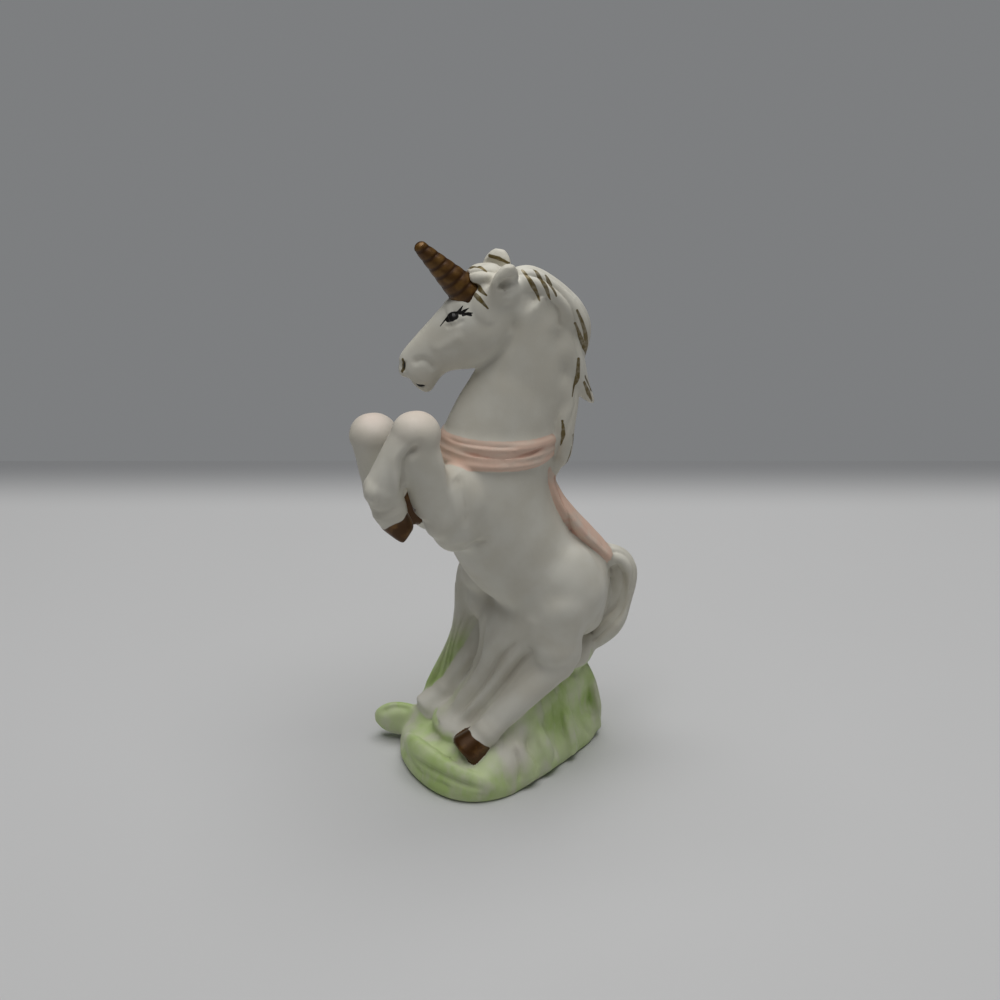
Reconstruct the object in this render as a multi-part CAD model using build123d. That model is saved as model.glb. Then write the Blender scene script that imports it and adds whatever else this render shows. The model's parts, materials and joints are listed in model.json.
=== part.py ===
from build123d import *
import math
import os

# A rearing unicorn ornament of unglazed porcelain, made as the hollow castings, solid limbs and
# applied pieces that a workshop lutes together. The figure faces -X, its left side faces -Y,
# and the flat underside of its grass mound lies on Z = 0. All lengths are millimetres.

# Sizes of the grass mound
MOUND_LENGTH = 48.0
MOUND_WIDTH = 35.0
MOUND_HEIGHT = 25.0
MOUND_WALL = 3.0
MOUND_FLOOR = 3.0
VENT_DIAMETER = 7.0
AIRWAY_DIAMETER = 3.5

# Sizes of the trunk, the neck and the head
HAUNCH_RISE = 3.0
TRUNK_BACK = 22.3
TRUNK_REACH = 38.6
TRUNK_HEIGHT = 50.0
TRUNK_WIDTH = 22.0
CASTING_WALL = 3.0
NECK_HEIGHT = 34.0
HEAD_LENGTH = 25.5
HEAD_DEPTH = 15.0
HEAD_WIDTH = 10.4
HEAD_DROP_ANGLE = 34.0
HEAD_TURN_ANGLE = 10.0

# Sizes of the horn and the ears
HORN_LENGTH = 12.6
HORN_BASE_DIAMETER = 7.0
HORN_TIP_DIAMETER = 2.2
HORN_TENON_DIAMETER = 2.4
HORN_TENON_LENGTH = 2.5
HORN_RING_DEPTH = 0.25
HORN_RING_COUNT = 6
HORN_LEAN_ANGLE = 9.0
EAR_LENGTH = 7.4
EAR_WIDTH = 6.2
EAR_THICKNESS = 3.4
EAR_WALL = 1.1

# Sizes of the legs and the hooves
FORELEG_DIAMETER = 9.0
HIND_LEG_DIAMETER = 8.0
FORE_HOOF_LENGTH = 5.6
FORE_HOOF_DIAMETER = 7.8
HIND_HOOF_LENGTH = 5.4
HIND_HOOF_DIAMETER = 8.2
HOOF_EDGE_RADIUS = 0.8

# Sizes of the hair
LOCK_WIDTH = 8.4
LOCK_THICKNESS = 6.0
FORELOCK_WIDTH = 7.0
FORELOCK_THICKNESS = 4.2
TAIL_WIDTH = 8.6
TAIL_THICKNESS = 5.2

# Sizes of the sash and the ribbon
SASH_WIDTH = 7.2
SASH_THICKNESS = 1.3
RIBBON_WIDTH = 12.0
RIBBON_THICKNESS = 3.4

# Sizes of the leaves and the grass
SUPPORT_LENGTH = 16.0
SUPPORT_WIDTH = 16.0
LEAF_WIDTH = 7.0
LEAF_THICKNESS = 4.2
BLADE_WIDTH = 4.6
BLADE_THICKNESS = 2.4

# How far a cutting tool runs past the face it cuts
OVERRUN = 1.0

# Points round an oval section, and how much of a limb's joint its cones fill
OVAL_POINTS = 8
BONE_SHARE = 0.96
# A hoof starts inside the last joint of its leg: how far along, and how wide there
HOOF_START_SHARE = 0.35
HOOF_TOP_SHARE = 0.9

# Outline of the mound seen from above, as shares of half its length and half its width
MOUND_OUTLINE_SHARES = [
    (-1.0, 0.17), (-0.93, -0.38), (-0.69, -0.84), (-0.35, -0.96), (0.08, -0.77), (0.56, -0.42),
    (0.88, -0.09), (1.0, 0.34), (0.85, 0.77), (0.42, 0.97), (-0.12, 1.03), (-0.58, 0.94), (-0.9, 0.63),
]
# Level share, outline share and backward shift share of the mound's sections, from the ground up
MOUND_SECTION_SHARES = [
    (0.0, 0.965, 0.0), (0.06, 1.0, 0.0), (0.18, 0.98, 0.0), (0.3, 0.87, 0.04), (0.37, 0.75, 0.11),
    (0.53, 0.62, 0.23), (0.76, 0.48, 0.29), (1.0, 0.3, 0.39),
]
VENT_PLACE_SHARES = (0.1, 0.06)

# Trunk sections from the haunch to the sash: belly point, back point and width, as shares
TRUNK_SECTION_SHARES = [
    ((0.34, 0.05), (0.07, 0.03), 0.5), ((0.466, 0.16), (0.018, 0.13), 0.84),
    ((0.606, 0.22), (0.0, 0.25), 1.0), ((0.753, 0.316), (0.028, 0.376), 1.0),
    ((0.873, 0.46), (0.178, 0.506), 0.95), ((0.944, 0.59), (0.298, 0.626), 0.92),
    ((0.982, 0.72), (0.369, 0.75), 0.88), ((0.98, 0.86), (0.382, 0.85), 0.82),
    ((0.939, 1.0), (0.364, 0.946), 0.72),
]
# Neck sections above the sash: throat point and crest point as shares of the sash section's depth
# and of the neck's height, and width as a share of the sash section's width
NECK_SECTION_SHARES = [
    ((0.945, 0.226), (-0.07, 0.153), 0.9), ((0.82, 0.374), (-0.13, 0.344), 0.79),
    ((0.68, 0.506), (-0.13, 0.544), 0.7), ((0.535, 0.632), (-0.053, 0.732), 0.63),
    ((0.41, 0.83), (0.02, 1.0), 0.58),
]
# The casting stays hollow between these trunk sections and up to this neck section
HOLLOW_FIRST_SECTION = 1
HOLLOW_LAST_NECK_SECTION = 2
# Ends of the air hole, in shares of the mound and of the trunk
AIRWAY_LOW_SHARES = (0.36, 0.0, 0.5)
AIRWAY_HIGH_SHARES = (0.27, 0.0, 0.24)

# Place of the head's pivot, as shares of the sash section's depth and the neck's height
POLL_SHARES = (0.35, 0.903)
# Head sections from the poll to the lips: length and depth shares of the bridge point and of the
# jaw point, and width share
HEAD_SECTION_SHARES = [
    ((-0.11, 0.33), (0.10, -0.33), 0.66), ((0.077, 0.505), (0.32, -0.46), 0.98),
    ((0.27, 0.545), (0.48, -0.455), 1.0), ((0.46, 0.51), (0.632, -0.33), 0.82),
    ((0.638, 0.44), (0.741, -0.255), 0.66), ((0.785, 0.385), (0.85, -0.31), 0.6),
    ((0.9, 0.325), (0.93, -0.34), 0.57), ((0.965, 0.24), (0.985, -0.14), 0.36),
]
HORN_PLACE_SHARES = (0.235, 0.5)
EAR_PLACE_SHARES = (0.045, 0.24)
EAR_SIDE_SHARE = 0.68
# Lean of the ears outward and back, and turn of their openings
EAR_SPREAD_SHARE = 0.28
EAR_BACK_SHARE = 0.22
EAR_TWIST_SHARE = 0.5
# Ear sections from the root to the tip: length share, width share, thickness share
EAR_SECTION_SHARES = [(-0.1, 0.62, 0.8), (0.4, 1.0, 1.0), (0.72, 0.86, 0.8), (1.0, 0.34, 0.4)]
# Round end of the lips: length share, depth share and radius share of the head's depth
LIPS_SHARES = (0.945, 0.09, 0.13)

# Leg joints as shares of the trunk's reach, half width and height, with diameter shares
LEFT_FORELEG_SHARES = [
    (0.9, -0.22, 0.75, 0.86), (1.04, -0.62, 0.745, 1.0), (1.16, -0.68, 1.13, 0.98),
    (1.33, -0.66, 0.915, 0.86), (1.295, -0.64, 0.815, 0.8),
]
RIGHT_FORELEG_SHARES = [
    (0.9, 0.22, 0.74, 0.86), (1.04, 0.62, 0.72, 1.0), (1.28, 0.66, 1.02, 0.98),
    (1.25, 0.58, 0.8, 0.8), (1.2, 0.53, 0.735, 0.82),
]
# Direction that each fore hoof points in, and each hind hoof
LEFT_FORE_HOOF_SHARES = (0.45, 0.06, -0.89)
RIGHT_FORE_HOOF_SHARES = (0.85, 0.0, -0.5)
HIND_HOOF_SHARES = (-0.76, 0.0, -0.65)
# Hind leg joints held by the trunk, as shares of its reach, half width and height
LEFT_THIGH_SHARES = [(0.27, -0.42, 0.3, 2.0), (0.36, -0.6, 0.26, 1.85), (0.39, -0.78, 0.07, 1.3)]
RIGHT_THIGH_SHARES = [(0.28, 0.42, 0.32, 2.0), (0.64, 0.68, 0.31, 1.4), (0.5, 0.78, 0.12, 1.15)]
# Hind leg joints held by the mound, as shares of half its length, half its width and its height
LEFT_SHANK_SHARES = [(0.32, -0.52, 1.07, 0.95), (-0.28, -0.52, 0.585, 0.68), (-0.36, -0.52, 0.52, 0.76)]
RIGHT_SHANK_SHARES = [(0.1, 0.52, 1.3, 0.95), (-0.42, 0.52, 0.585, 0.68), (-0.48, 0.52, 0.52, 0.76)]

# Locks of the mane as shares of the sash section's depth, half the trunk's width and the neck's
# height, with width shares and thickness shares
UPPER_LOCK_SHARES = [
    (0.34, 0.0, 1.05, 0.62, 0.7), (0.13, 0.0, 1.0, 0.95, 1.05), (-0.075, 0.0, 0.895, 1.1, 1.05),
    (-0.25, 0.0, 0.74, 1.0, 1.05), (-0.33, 0.0, 0.57, 0.42, 0.4), (-0.345, 0.0, 0.51, 0.12, 0.12),
]
MIDDLE_LOCK_SHARES = [
    (-0.07, -0.04, 0.74, 0.7, 0.7), (-0.2, -0.07, 0.55, 0.95, 0.9), (-0.27, -0.09, 0.4, 0.8, 0.75),
    (-0.38, -0.09, 0.27, 0.42, 0.36), (-0.435, -0.09, 0.225, 0.12, 0.12),
]
LOWER_LOCK_SHARES = [
    (-0.1, -0.07, 0.48, 0.6, 0.6), (-0.15, -0.1, 0.29, 0.9, 0.9), (-0.1, -0.12, 0.09, 1.0, 1.0),
    (-0.11, -0.1, -0.06, 0.8, 0.75), (-0.06, -0.07, -0.18, 0.24, 0.24),
]
FAR_LOCK_SHARES = [
    (0.05, 0.32, 0.85, 0.6, 0.5), (-0.06, 0.45, 0.62, 0.85, 0.6), (-0.08, 0.52, 0.36, 0.75, 0.55),
    (-0.1, 0.52, 0.14, 0.45, 0.36), (-0.12, 0.5, 0.05, 0.12, 0.1),
]
# Forelock strands in the head's own shares of length, half width and depth
FORELOCK_TOP_SHARES = [
    (-0.06, 0.0, 0.42, 0.8, 0.6), (0.03, 0.0, 0.53, 1.0, 1.0), (0.12, 0.0, 0.585, 0.9, 0.9),
    (0.17, 0.0, 0.575, 0.5, 0.5),
]
FORELOCK_SIDE_SHARES = [
    (0.05, -0.62, 0.42, 0.42, 0.5), (0.15, -0.78, 0.36, 0.62, 0.6), (0.2, -0.9, 0.22, 0.55, 0.5),
    (0.2, -0.97, 0.06, 0.16, 0.16),
]
# Tail, as shares of the trunk's reach behind its back and of its height, with width shares and
# thickness shares
TAIL_SHARES = [
    (0.05, 0.32, 0.5, 0.66), (-0.03, 0.365, 0.76, 0.9), (-0.095, 0.325, 0.96, 1.0),
    (-0.115, 0.21, 1.0, 1.0), (-0.085, 0.08, 0.96, 0.94), (0.01, -0.03, 0.8, 0.84),
    (0.12, -0.095, 0.56, 0.6),
]
# Swell of the sash's folds from its lower edge to its upper edge, as shares of its thickness
SASH_FOLD_SHARES = [-0.4, 0.7, 0.95, 0.55, 1.0, 0.55, 0.95, 0.7, -0.4]
# Ribbon along the back: trunk section, lift share of its thickness, width share, thickness share
RIBBON_SHARES = [
    (7, 0.0, 0.4, 0.6), (6, 0.2, 0.7, 0.9), (5, 0.3, 1.0, 1.2), (4, 0.35, 1.0, 1.2), (3, 0.2, 0.72, 1.0),
]

# Support of grass between the legs: backward share, level share, length share, width share
SUPPORT_SHARES = [
    (-0.13, 0.42, 1.25, 1.2), (0.0, 0.72, 1.3, 1.1), (0.17, 1.04, 1.3, 1.0), (0.22, 1.36, 1.4, 1.0),
    (0.3, 1.6, 1.3, 1.0),
]
# Leaves and blades: mound shares of each point, with width and thickness shares
CORNER_LEAF_SHARES = [
    (-0.55, 0.45, 0.2, 0.8, 0.9), (-0.82, 0.72, 0.2, 1.2, 1.1), (-1.02, 0.88, 0.2, 0.95, 0.95),
    (-1.1, 0.94, 0.2, 0.34, 0.4),
]
FRONT_LEAF_SHARES = [
    (-0.3, -0.9, 0.1, 0.3, 0.4), (-0.58, -0.8, 0.17, 0.9, 0.9), (-0.82, -0.42, 0.24, 1.0, 1.0),
    (-0.93, 0.02, 0.27, 0.8, 0.8), (-0.95, 0.24, 0.26, 0.24, 0.3),
]
SIDE_BLADE_SHARES = [
    [(0.0, -0.84, 0.07, 1.0, 0.9), (-0.05, -0.8, 0.26, 0.95, 1.0), (-0.12, -0.66, 0.42, 0.2, 0.4)],
    [(0.26, -0.67, 0.07, 1.1, 0.9), (0.2, -0.66, 0.3, 1.0, 1.0), (0.12, -0.53, 0.52, 0.2, 0.4)],
    [(0.54, -0.45, 0.07, 1.1, 0.9), (0.49, -0.42, 0.36, 1.0, 1.0), (0.42, -0.34, 0.66, 0.2, 0.4)],
]
REAR_BLADE_SHARES = [
    [(0.9, 0.0, 0.07, 1.2, 0.9), (0.86, 0.02, 0.45, 1.1, 1.0), (0.73, 0.04, 0.86, 0.24, 0.4)],
    [(0.84, 0.5, 0.07, 1.2, 0.9), (0.78, 0.43, 0.42, 1.1, 1.0), (0.67, 0.36, 0.78, 0.24, 0.4)],
    [(0.45, 0.88, 0.07, 1.2, 0.9), (0.43, 0.69, 0.42, 1.1, 1.0), (0.46, 0.46, 0.74, 0.24, 0.4)],
]
TALL_BLADE_SHARES = [
    (-0.4, 0.66, 0.36, 3.2, 1.5), (-0.33, 0.66, 0.7, 2.5, 1.5), (-0.25, 0.62, 1.05, 1.8, 1.4),
    (-0.25, 0.58, 1.45, 1.3, 1.2), (-0.26, 0.54, 1.86, 0.5, 0.7),
]

trunk_bottom = MOUND_HEIGHT + HAUNCH_RISE
side_axis = Vector(0, 1, 0)
up_axis = Vector(0, 0, 1)


def mound_point(length_share, width_share, level_share):
    return Vector(
        length_share * MOUND_LENGTH / 2, width_share * MOUND_WIDTH / 2, level_share * MOUND_HEIGHT
    )


def trunk_point(reach_share, side_share, height_share):
    return Vector(
        TRUNK_BACK - reach_share * TRUNK_REACH,
        side_share * TRUNK_WIDTH / 2,
        trunk_bottom + height_share * TRUNK_HEIGHT,
    )


def section_ends(row):
    belly, back, width_share = row
    half_width = width_share * TRUNK_WIDTH / 2
    return trunk_point(belly[0], 0, belly[1]), trunk_point(back[0], 0, back[1]), half_width


# The sash section, where the neck casting is luted onto the trunk
sash_front, sash_back, sash_half_width = section_ends(TRUNK_SECTION_SHARES[-1])
sash_depth = (sash_back - sash_front).length


def neck_point(depth_share, side_share, height_share):
    return Vector(
        sash_back.X - depth_share * sash_depth,
        side_share * TRUNK_WIDTH / 2,
        sash_back.Z + height_share * NECK_HEIGHT,
    )


def neck_ends(row):
    throat, crest, width_share = row
    half_width = width_share * sash_half_width
    return neck_point(throat[0], 0, throat[1]), neck_point(crest[0], 0, crest[1]), half_width


# The head is modelled straight, then turned about a vertical line through the poll
poll = neck_point(POLL_SHARES[0], 0, POLL_SHARES[1])
head_drop = math.radians(HEAD_DROP_ANGLE)
head_forward = Vector(-math.cos(head_drop), 0, -math.sin(head_drop))
head_up = Vector(-math.sin(head_drop), 0, math.cos(head_drop))
head_turn_axis = Axis(poll, up_axis)


def head_point(length_share, side_share, depth_share):
    along = head_forward * (length_share * HEAD_LENGTH)
    across = side_axis * (side_share * HEAD_WIDTH / 2)
    return poll + along + head_up * (depth_share * HEAD_DEPTH) + across


def turned(shape):
    return shape.rotate(head_turn_axis, -HEAD_TURN_ANGLE)


def oval(plane, half_x, half_y):
    """A smooth oval face on a plane, with its first point on the plane's X axis."""
    turn = 2 * math.pi / OVAL_POINTS
    points = [(half_x * math.cos(i * turn), half_y * math.sin(i * turn)) for i in range(OVAL_POINTS)]
    return plane * make_face(Spline(*points, periodic=True))


def cross_section(front, back, half_width, inset=0):
    """An oval across the figure, from a front point to a back point of its middle plane."""
    across = back - front
    plane = Plane(origin=(front + back) / 2, x_dir=across, z_dir=across.cross(side_axis))
    return oval(plane, across.length / 2 - inset, half_width - inset)


def strand(points, half_widths, half_thicknesses, width_dir):
    """A tapering strand through points, flat along width_dir."""
    sections = []
    for i, point in enumerate(points):
        ahead = points[min(i + 1, len(points) - 1)]
        behind = points[max(i - 1, 0)]
        tangent = (ahead - behind).normalized()
        flat = (width_dir - tangent * width_dir.dot(tangent)).normalized()
        plane = Plane(origin=point, x_dir=flat, z_dir=tangent)
        sections.append(oval(plane, half_widths[i], half_thicknesses[i]))
    return loft(sections)


def strand_from(rows, place, width, thickness, width_dir):
    points = [place(*row[:3]) for row in rows]
    half_widths = [row[3] * width / 2 for row in rows]
    half_thicknesses = [row[4] * thickness / 2 for row in rows]
    return strand(points, half_widths, half_thicknesses, width_dir)


def limb(joints):
    """Cones between round joints, ending in a round joint that the hoof sits on."""
    whole = Sphere(joints[0][1]).moved(Location(joints[0][0]))
    for (start, start_radius), (end, end_radius) in zip(joints, joints[1:]):
        plane = Plane(origin=start, z_dir=end - start)
        length = (end - start).length
        bone = Solid.make_cone(start_radius * BONE_SHARE, end_radius * BONE_SHARE, length, plane)
        whole = whole + bone + Sphere(end_radius).moved(Location(end))
    return whole


def hoof(joint, joint_radius, direction_shares, length, diameter):
    """A flaring cone that starts inside the leg's last joint."""
    direction = Vector(*direction_shares).normalized()
    plane = Plane(origin=joint + direction * (HOOF_START_SHARE * joint_radius), z_dir=direction)
    cone = Part(Solid.make_cone(HOOF_TOP_SHARE * joint_radius, diameter / 2, length, plane).wrapped)
    sole = cone.edges().sort_by(lambda edge: (edge.center() - joint).dot(direction))[-1]
    return fillet(sole, HOOF_EDGE_RADIUS)


def largest(shape):
    return max(shape.solids(), key=lambda solid: solid.volume)


def boxes_meet(shape, other):
    first = shape.bounding_box()
    second = other.bounding_box()
    lows = [max(a, b) for a, b in zip(first.min, second.min)]
    highs = [min(a, b) for a, b in zip(first.max, second.max)]
    return all(low < high for low, high in zip(lows, highs))


def seated(shape, *carriers):
    """The piece cut to the faces of what carries it, so that it is luted face to face."""
    for carrier in carriers:
        if boxes_meet(shape, carrier):
            shape = largest(shape - carrier)
    return largest(shape)


# Mound of grass, cast hollow, with its vent in the floor
def mound_section(level, outline_share, shift_share, inset_share=0):
    scale = outline_share * (1 - inset_share)
    points = [
        (x * scale * MOUND_LENGTH / 2 + shift_share * MOUND_LENGTH / 2, y * scale * MOUND_WIDTH / 2)
        for x, y in MOUND_OUTLINE_SHARES
    ]
    return Plane.XY.offset(level) * make_face(Spline(*points, periodic=True))


def make_mound():
    body = loft([mound_section(row[0] * MOUND_HEIGHT, row[1], row[2]) for row in MOUND_SECTION_SHARES])
    inset_share = MOUND_WALL / (MOUND_WIDTH / 2)
    inner_height = MOUND_HEIGHT - MOUND_FLOOR - MOUND_WALL
    hollow_sections = []
    for level_share, outline_share, shift_share in MOUND_SECTION_SHARES:
        if outline_share < 1.0:
            level = MOUND_FLOOR + level_share * inner_height
            hollow_sections.append(mound_section(level, outline_share, shift_share, 2 * inset_share))
    hollow = loft(hollow_sections)
    vent_place = mound_point(VENT_PLACE_SHARES[0], VENT_PLACE_SHARES[1], 0)
    vent = Cylinder(VENT_DIAMETER / 2, 2 * (MOUND_FLOOR + OVERRUN)).moved(Location(vent_place))
    return body - hollow - vent


# Trunk and neck, one hollow that runs on from the trunk into the neck
trunk_ends = [section_ends(row) for row in TRUNK_SECTION_SHARES]
neck_sections = [trunk_ends[-1]] + [neck_ends(row) for row in NECK_SECTION_SHARES]


def make_trunk():
    return loft([cross_section(*ends) for ends in trunk_ends])


def make_neck():
    return loft([cross_section(*ends) for ends in neck_sections])


def make_hollow():
    rows = trunk_ends[HOLLOW_FIRST_SECTION:] + neck_sections[1 : HOLLOW_LAST_NECK_SECTION + 1]
    return loft([cross_section(*ends, inset=CASTING_WALL) for ends in rows])


def make_airway():
    """The air hole from the trunk's hollow down through the support into the mound."""
    low = mound_point(*AIRWAY_LOW_SHARES)
    high = trunk_point(*AIRWAY_HIGH_SHARES)
    plane = Plane(origin=low, z_dir=high - low)
    return Solid.make_cylinder(AIRWAY_DIAMETER / 2, (high - low).length, plane)


# Head with the horn's socket, the horn, and the ears
def head_section(row):
    bridge, jaw, width_share = row
    front = head_point(jaw[0], 0, jaw[1])
    back = head_point(bridge[0], 0, bridge[1])
    return cross_section(front, back, width_share * HEAD_WIDTH / 2)


horn_lean = math.radians(HORN_LEAN_ANGLE)
horn_axis = head_up * math.cos(horn_lean) + head_forward * math.sin(horn_lean)
horn_seat = head_point(HORN_PLACE_SHARES[0], 0, HORN_PLACE_SHARES[1])


def make_head():
    head = loft([head_section(row) for row in HEAD_SECTION_SHARES])
    lips_place = head_point(LIPS_SHARES[0], 0, LIPS_SHARES[1])
    lips = Sphere(LIPS_SHARES[2] * HEAD_DEPTH).moved(Location(lips_place))
    depth = HORN_TENON_LENGTH + OVERRUN
    socket_plane = Plane(origin=horn_seat + horn_axis * OVERRUN, z_dir=horn_axis * -1)
    return head + lips - Solid.make_cylinder(HORN_TENON_DIAMETER / 2, depth, socket_plane)


def make_horn():
    """A ringed cone with the tenon that stands in the head's socket."""
    steps = 2 * HORN_RING_COUNT
    tenon_radius = HORN_TENON_DIAMETER / 2
    profile = [(0, -HORN_TENON_LENGTH), (tenon_radius, -HORN_TENON_LENGTH), (tenon_radius, 0)]
    for i in range(steps + 1):
        share = i / steps
        radius = (HORN_BASE_DIAMETER * (1 - share) + HORN_TIP_DIAMETER * share) / 2
        groove = HORN_RING_DEPTH if i % 2 else 0
        profile.append((radius - groove, share * HORN_LENGTH))
    profile.append((0, HORN_LENGTH + HORN_TIP_DIAMETER / 2))
    outline = make_face(Plane.XZ * Polyline(*profile, close=True))
    return Plane(origin=horn_seat, x_dir=side_axis, z_dir=horn_axis) * revolve(outline, Axis.Z)


def make_ear(side):
    """A pointed leaf with a hollowed front. Side is -1 for the left ear and 1 for the right."""
    root = head_point(EAR_PLACE_SHARES[0], side * EAR_SIDE_SHARE, EAR_PLACE_SHARES[1])
    rise = (up_axis + side_axis * (side * EAR_SPREAD_SHARE) + Vector(EAR_BACK_SHARE, 0, 0)).normalized()
    wide = Vector(1, -side * EAR_TWIST_SHARE, 0)
    points = [root + rise * (EAR_LENGTH * row[0]) for row in EAR_SECTION_SHARES]
    half_widths = [EAR_WIDTH * row[1] / 2 for row in EAR_SECTION_SHARES]
    half_thicknesses = [EAR_THICKNESS * row[2] / 2 for row in EAR_SECTION_SHARES]
    shell = strand(points, half_widths, half_thicknesses, wide)
    outward = wide.cross(rise).normalized() * EAR_WALL
    scoop = strand(
        [point + outward for point in points[1:3]],
        [value - EAR_WALL / 2 for value in half_widths[1:3]],
        [value - EAR_WALL / 2 for value in half_thicknesses[1:3]],
        wide,
    )
    return shell - scoop


# Legs and hooves
def trunk_joints(rows, diameter):
    return [(trunk_point(row[0], row[1], row[2]), row[3] * diameter / 2) for row in rows]


def mound_joints(rows, diameter):
    return [(mound_point(row[0], row[1], row[2]), row[3] * diameter / 2) for row in rows]


def make_foreleg(rows):
    return limb(trunk_joints(rows, FORELEG_DIAMETER))


def make_hind_leg(thigh_rows, shank_rows):
    return limb(trunk_joints(thigh_rows, HIND_LEG_DIAMETER) + mound_joints(shank_rows, HIND_LEG_DIAMETER))


def make_fore_hoof(rows, direction_shares):
    top, radius = trunk_joints(rows, FORELEG_DIAMETER)[-1]
    return hoof(top, radius, direction_shares, FORE_HOOF_LENGTH, FORE_HOOF_DIAMETER)


def make_hind_hoof(rows):
    top, radius = mound_joints(rows, HIND_LEG_DIAMETER)[-1]
    return hoof(top, radius, HIND_HOOF_SHARES, HIND_HOOF_LENGTH, HIND_HOOF_DIAMETER)


# Mane, forelock and tail
def make_lock(rows):
    return strand_from(rows, neck_point, LOCK_WIDTH, LOCK_THICKNESS, side_axis)


def make_forelock():
    size = (FORELOCK_WIDTH, FORELOCK_THICKNESS)
    top = strand_from(FORELOCK_TOP_SHARES, head_point, *size, side_axis)
    temple = strand_from(FORELOCK_SIDE_SHARES, head_point, *size, head_forward)
    return top + temple


def make_tail():
    points = [trunk_point(row[0], 0, row[1]) for row in TAIL_SHARES]
    half_widths = [row[2] * TAIL_WIDTH / 2 for row in TAIL_SHARES]
    half_thicknesses = [row[3] * TAIL_THICKNESS / 2 for row in TAIL_SHARES]
    return strand(points, half_widths, half_thicknesses, side_axis)


# Sash and ribbon
def blended_ends(ends, other_ends, share):
    return [here + (there - here) * share for here, there in zip(ends, other_ends)]


def make_sash():
    """Folds laid round the joint of neck and trunk, from the lower edge to the upper edge."""
    sections = []
    middle = (len(SASH_FOLD_SHARES) - 1) / 2
    for i, swell in enumerate(SASH_FOLD_SHARES):
        step = i / middle - 1
        neighbour = trunk_ends[-2] if step < 0 else neck_sections[1]
        spacing = (neighbour[0] - sash_front).length
        share = abs(step) * SASH_WIDTH / 2 / spacing
        ends = blended_ends(trunk_ends[-1], neighbour, share)
        sections.append(cross_section(*ends, inset=-SASH_THICKNESS * swell))
    return loft(sections, ruled=True)


def back_point(section, lift):
    """A point on the trunk's back at a section, lifted off it."""
    front, back, _ = trunk_ends[section]
    return back + (back - front).normalized() * lift


def make_ribbon():
    points = [back_point(row[0], row[1] * RIBBON_THICKNESS) for row in RIBBON_SHARES]
    half_widths = [row[2] * RIBBON_WIDTH / 2 for row in RIBBON_SHARES]
    half_thicknesses = [row[3] * RIBBON_THICKNESS / 2 for row in RIBBON_SHARES]
    return strand(points, half_widths, half_thicknesses, side_axis)


# Grass support, leaves and blades
def make_support():
    sections = []
    for back_share, level_share, length_share, width_share in SUPPORT_SHARES:
        centre = mound_point(back_share, 0, level_share)
        plane = Plane(origin=centre, x_dir=(1, 0, 0), z_dir=up_axis)
        sections.append(oval(plane, length_share * SUPPORT_LENGTH / 2, width_share * SUPPORT_WIDTH / 2))
    return loft(sections)


def make_leaf(rows):
    return strand_from(rows, mound_point, LEAF_WIDTH, LEAF_THICKNESS, up_axis)


def make_blade(rows, width_dir):
    return strand_from(rows, mound_point, BLADE_WIDTH, BLADE_THICKNESS, width_dir)


# Every piece, seated on what carries it, the larger pieces first
airway = make_airway()
hollow = make_hollow()
whole_trunk = make_trunk()
whole_neck = make_neck()
head = turned(make_head())
mound_body = make_mound()

parts = {}
parts["mound"] = largest(mound_body - airway)
parts["trunk"] = largest(whole_trunk - hollow - airway)
parts["head"] = largest(head)
parts["neck"] = seated(whole_neck, hollow, head)
parts["horn"] = seated(turned(make_horn()), head)

for side_name, joint_rows, hoof_shares in [
    ("left", LEFT_FORELEG_SHARES, LEFT_FORE_HOOF_SHARES),
    ("right", RIGHT_FORELEG_SHARES, RIGHT_FORE_HOOF_SHARES),
]:
    leg = seated(make_foreleg(joint_rows), whole_trunk, whole_neck)
    parts[side_name + "_foreleg"] = leg
    parts[side_name + "_fore_hoof"] = seated(make_fore_hoof(joint_rows, hoof_shares), leg, whole_trunk)

for side_name, thigh_rows, shank_rows in [
    ("left", LEFT_THIGH_SHARES, LEFT_SHANK_SHARES),
    ("right", RIGHT_THIGH_SHARES, RIGHT_SHANK_SHARES),
]:
    leg = seated(make_hind_leg(thigh_rows, shank_rows), whole_trunk, mound_body)
    parts[side_name + "_hind_leg"] = leg
    parts[side_name + "_hind_hoof"] = seated(make_hind_hoof(shank_rows), leg, mound_body)

leg_names = ("left_hind_leg", "right_hind_leg", "left_hind_hoof", "right_hind_hoof")
legs = [parts[name] for name in leg_names]
parts["grass_support"] = seated(make_support(), whole_trunk, mound_body, *legs, airway)

parts["left_ear"] = seated(turned(make_ear(-1)), head, whole_neck)
parts["right_ear"] = seated(turned(make_ear(1)), head, whole_neck)
forelock = seated(turned(make_forelock()), head, parts["horn"], parts["left_ear"], parts["right_ear"])
parts["forelock"] = forelock

mane_carriers = [head, whole_neck, whole_trunk, parts["left_ear"], parts["right_ear"], forelock]
for lock_name, rows in [
    ("mane_upper_lock", UPPER_LOCK_SHARES),
    ("mane_middle_lock", MIDDLE_LOCK_SHARES),
    ("mane_lower_lock", LOWER_LOCK_SHARES),
    ("mane_far_lock", FAR_LOCK_SHARES),
]:
    lock = seated(make_lock(rows), *mane_carriers)
    parts[lock_name] = lock
    mane_carriers.append(lock)

locks = mane_carriers[6:]
forelegs = [parts["left_foreleg"], parts["right_foreleg"]]
sash = seated(make_sash(), whole_trunk, whole_neck, *forelegs, *locks)
parts["sash"] = sash
ribbon = seated(make_ribbon(), whole_trunk, sash, *locks, *legs)
parts["back_ribbon"] = ribbon
parts["tail"] = seated(
    make_tail(), whole_trunk, parts["back_ribbon"], mound_body, *legs, parts["grass_support"]
)

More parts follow.
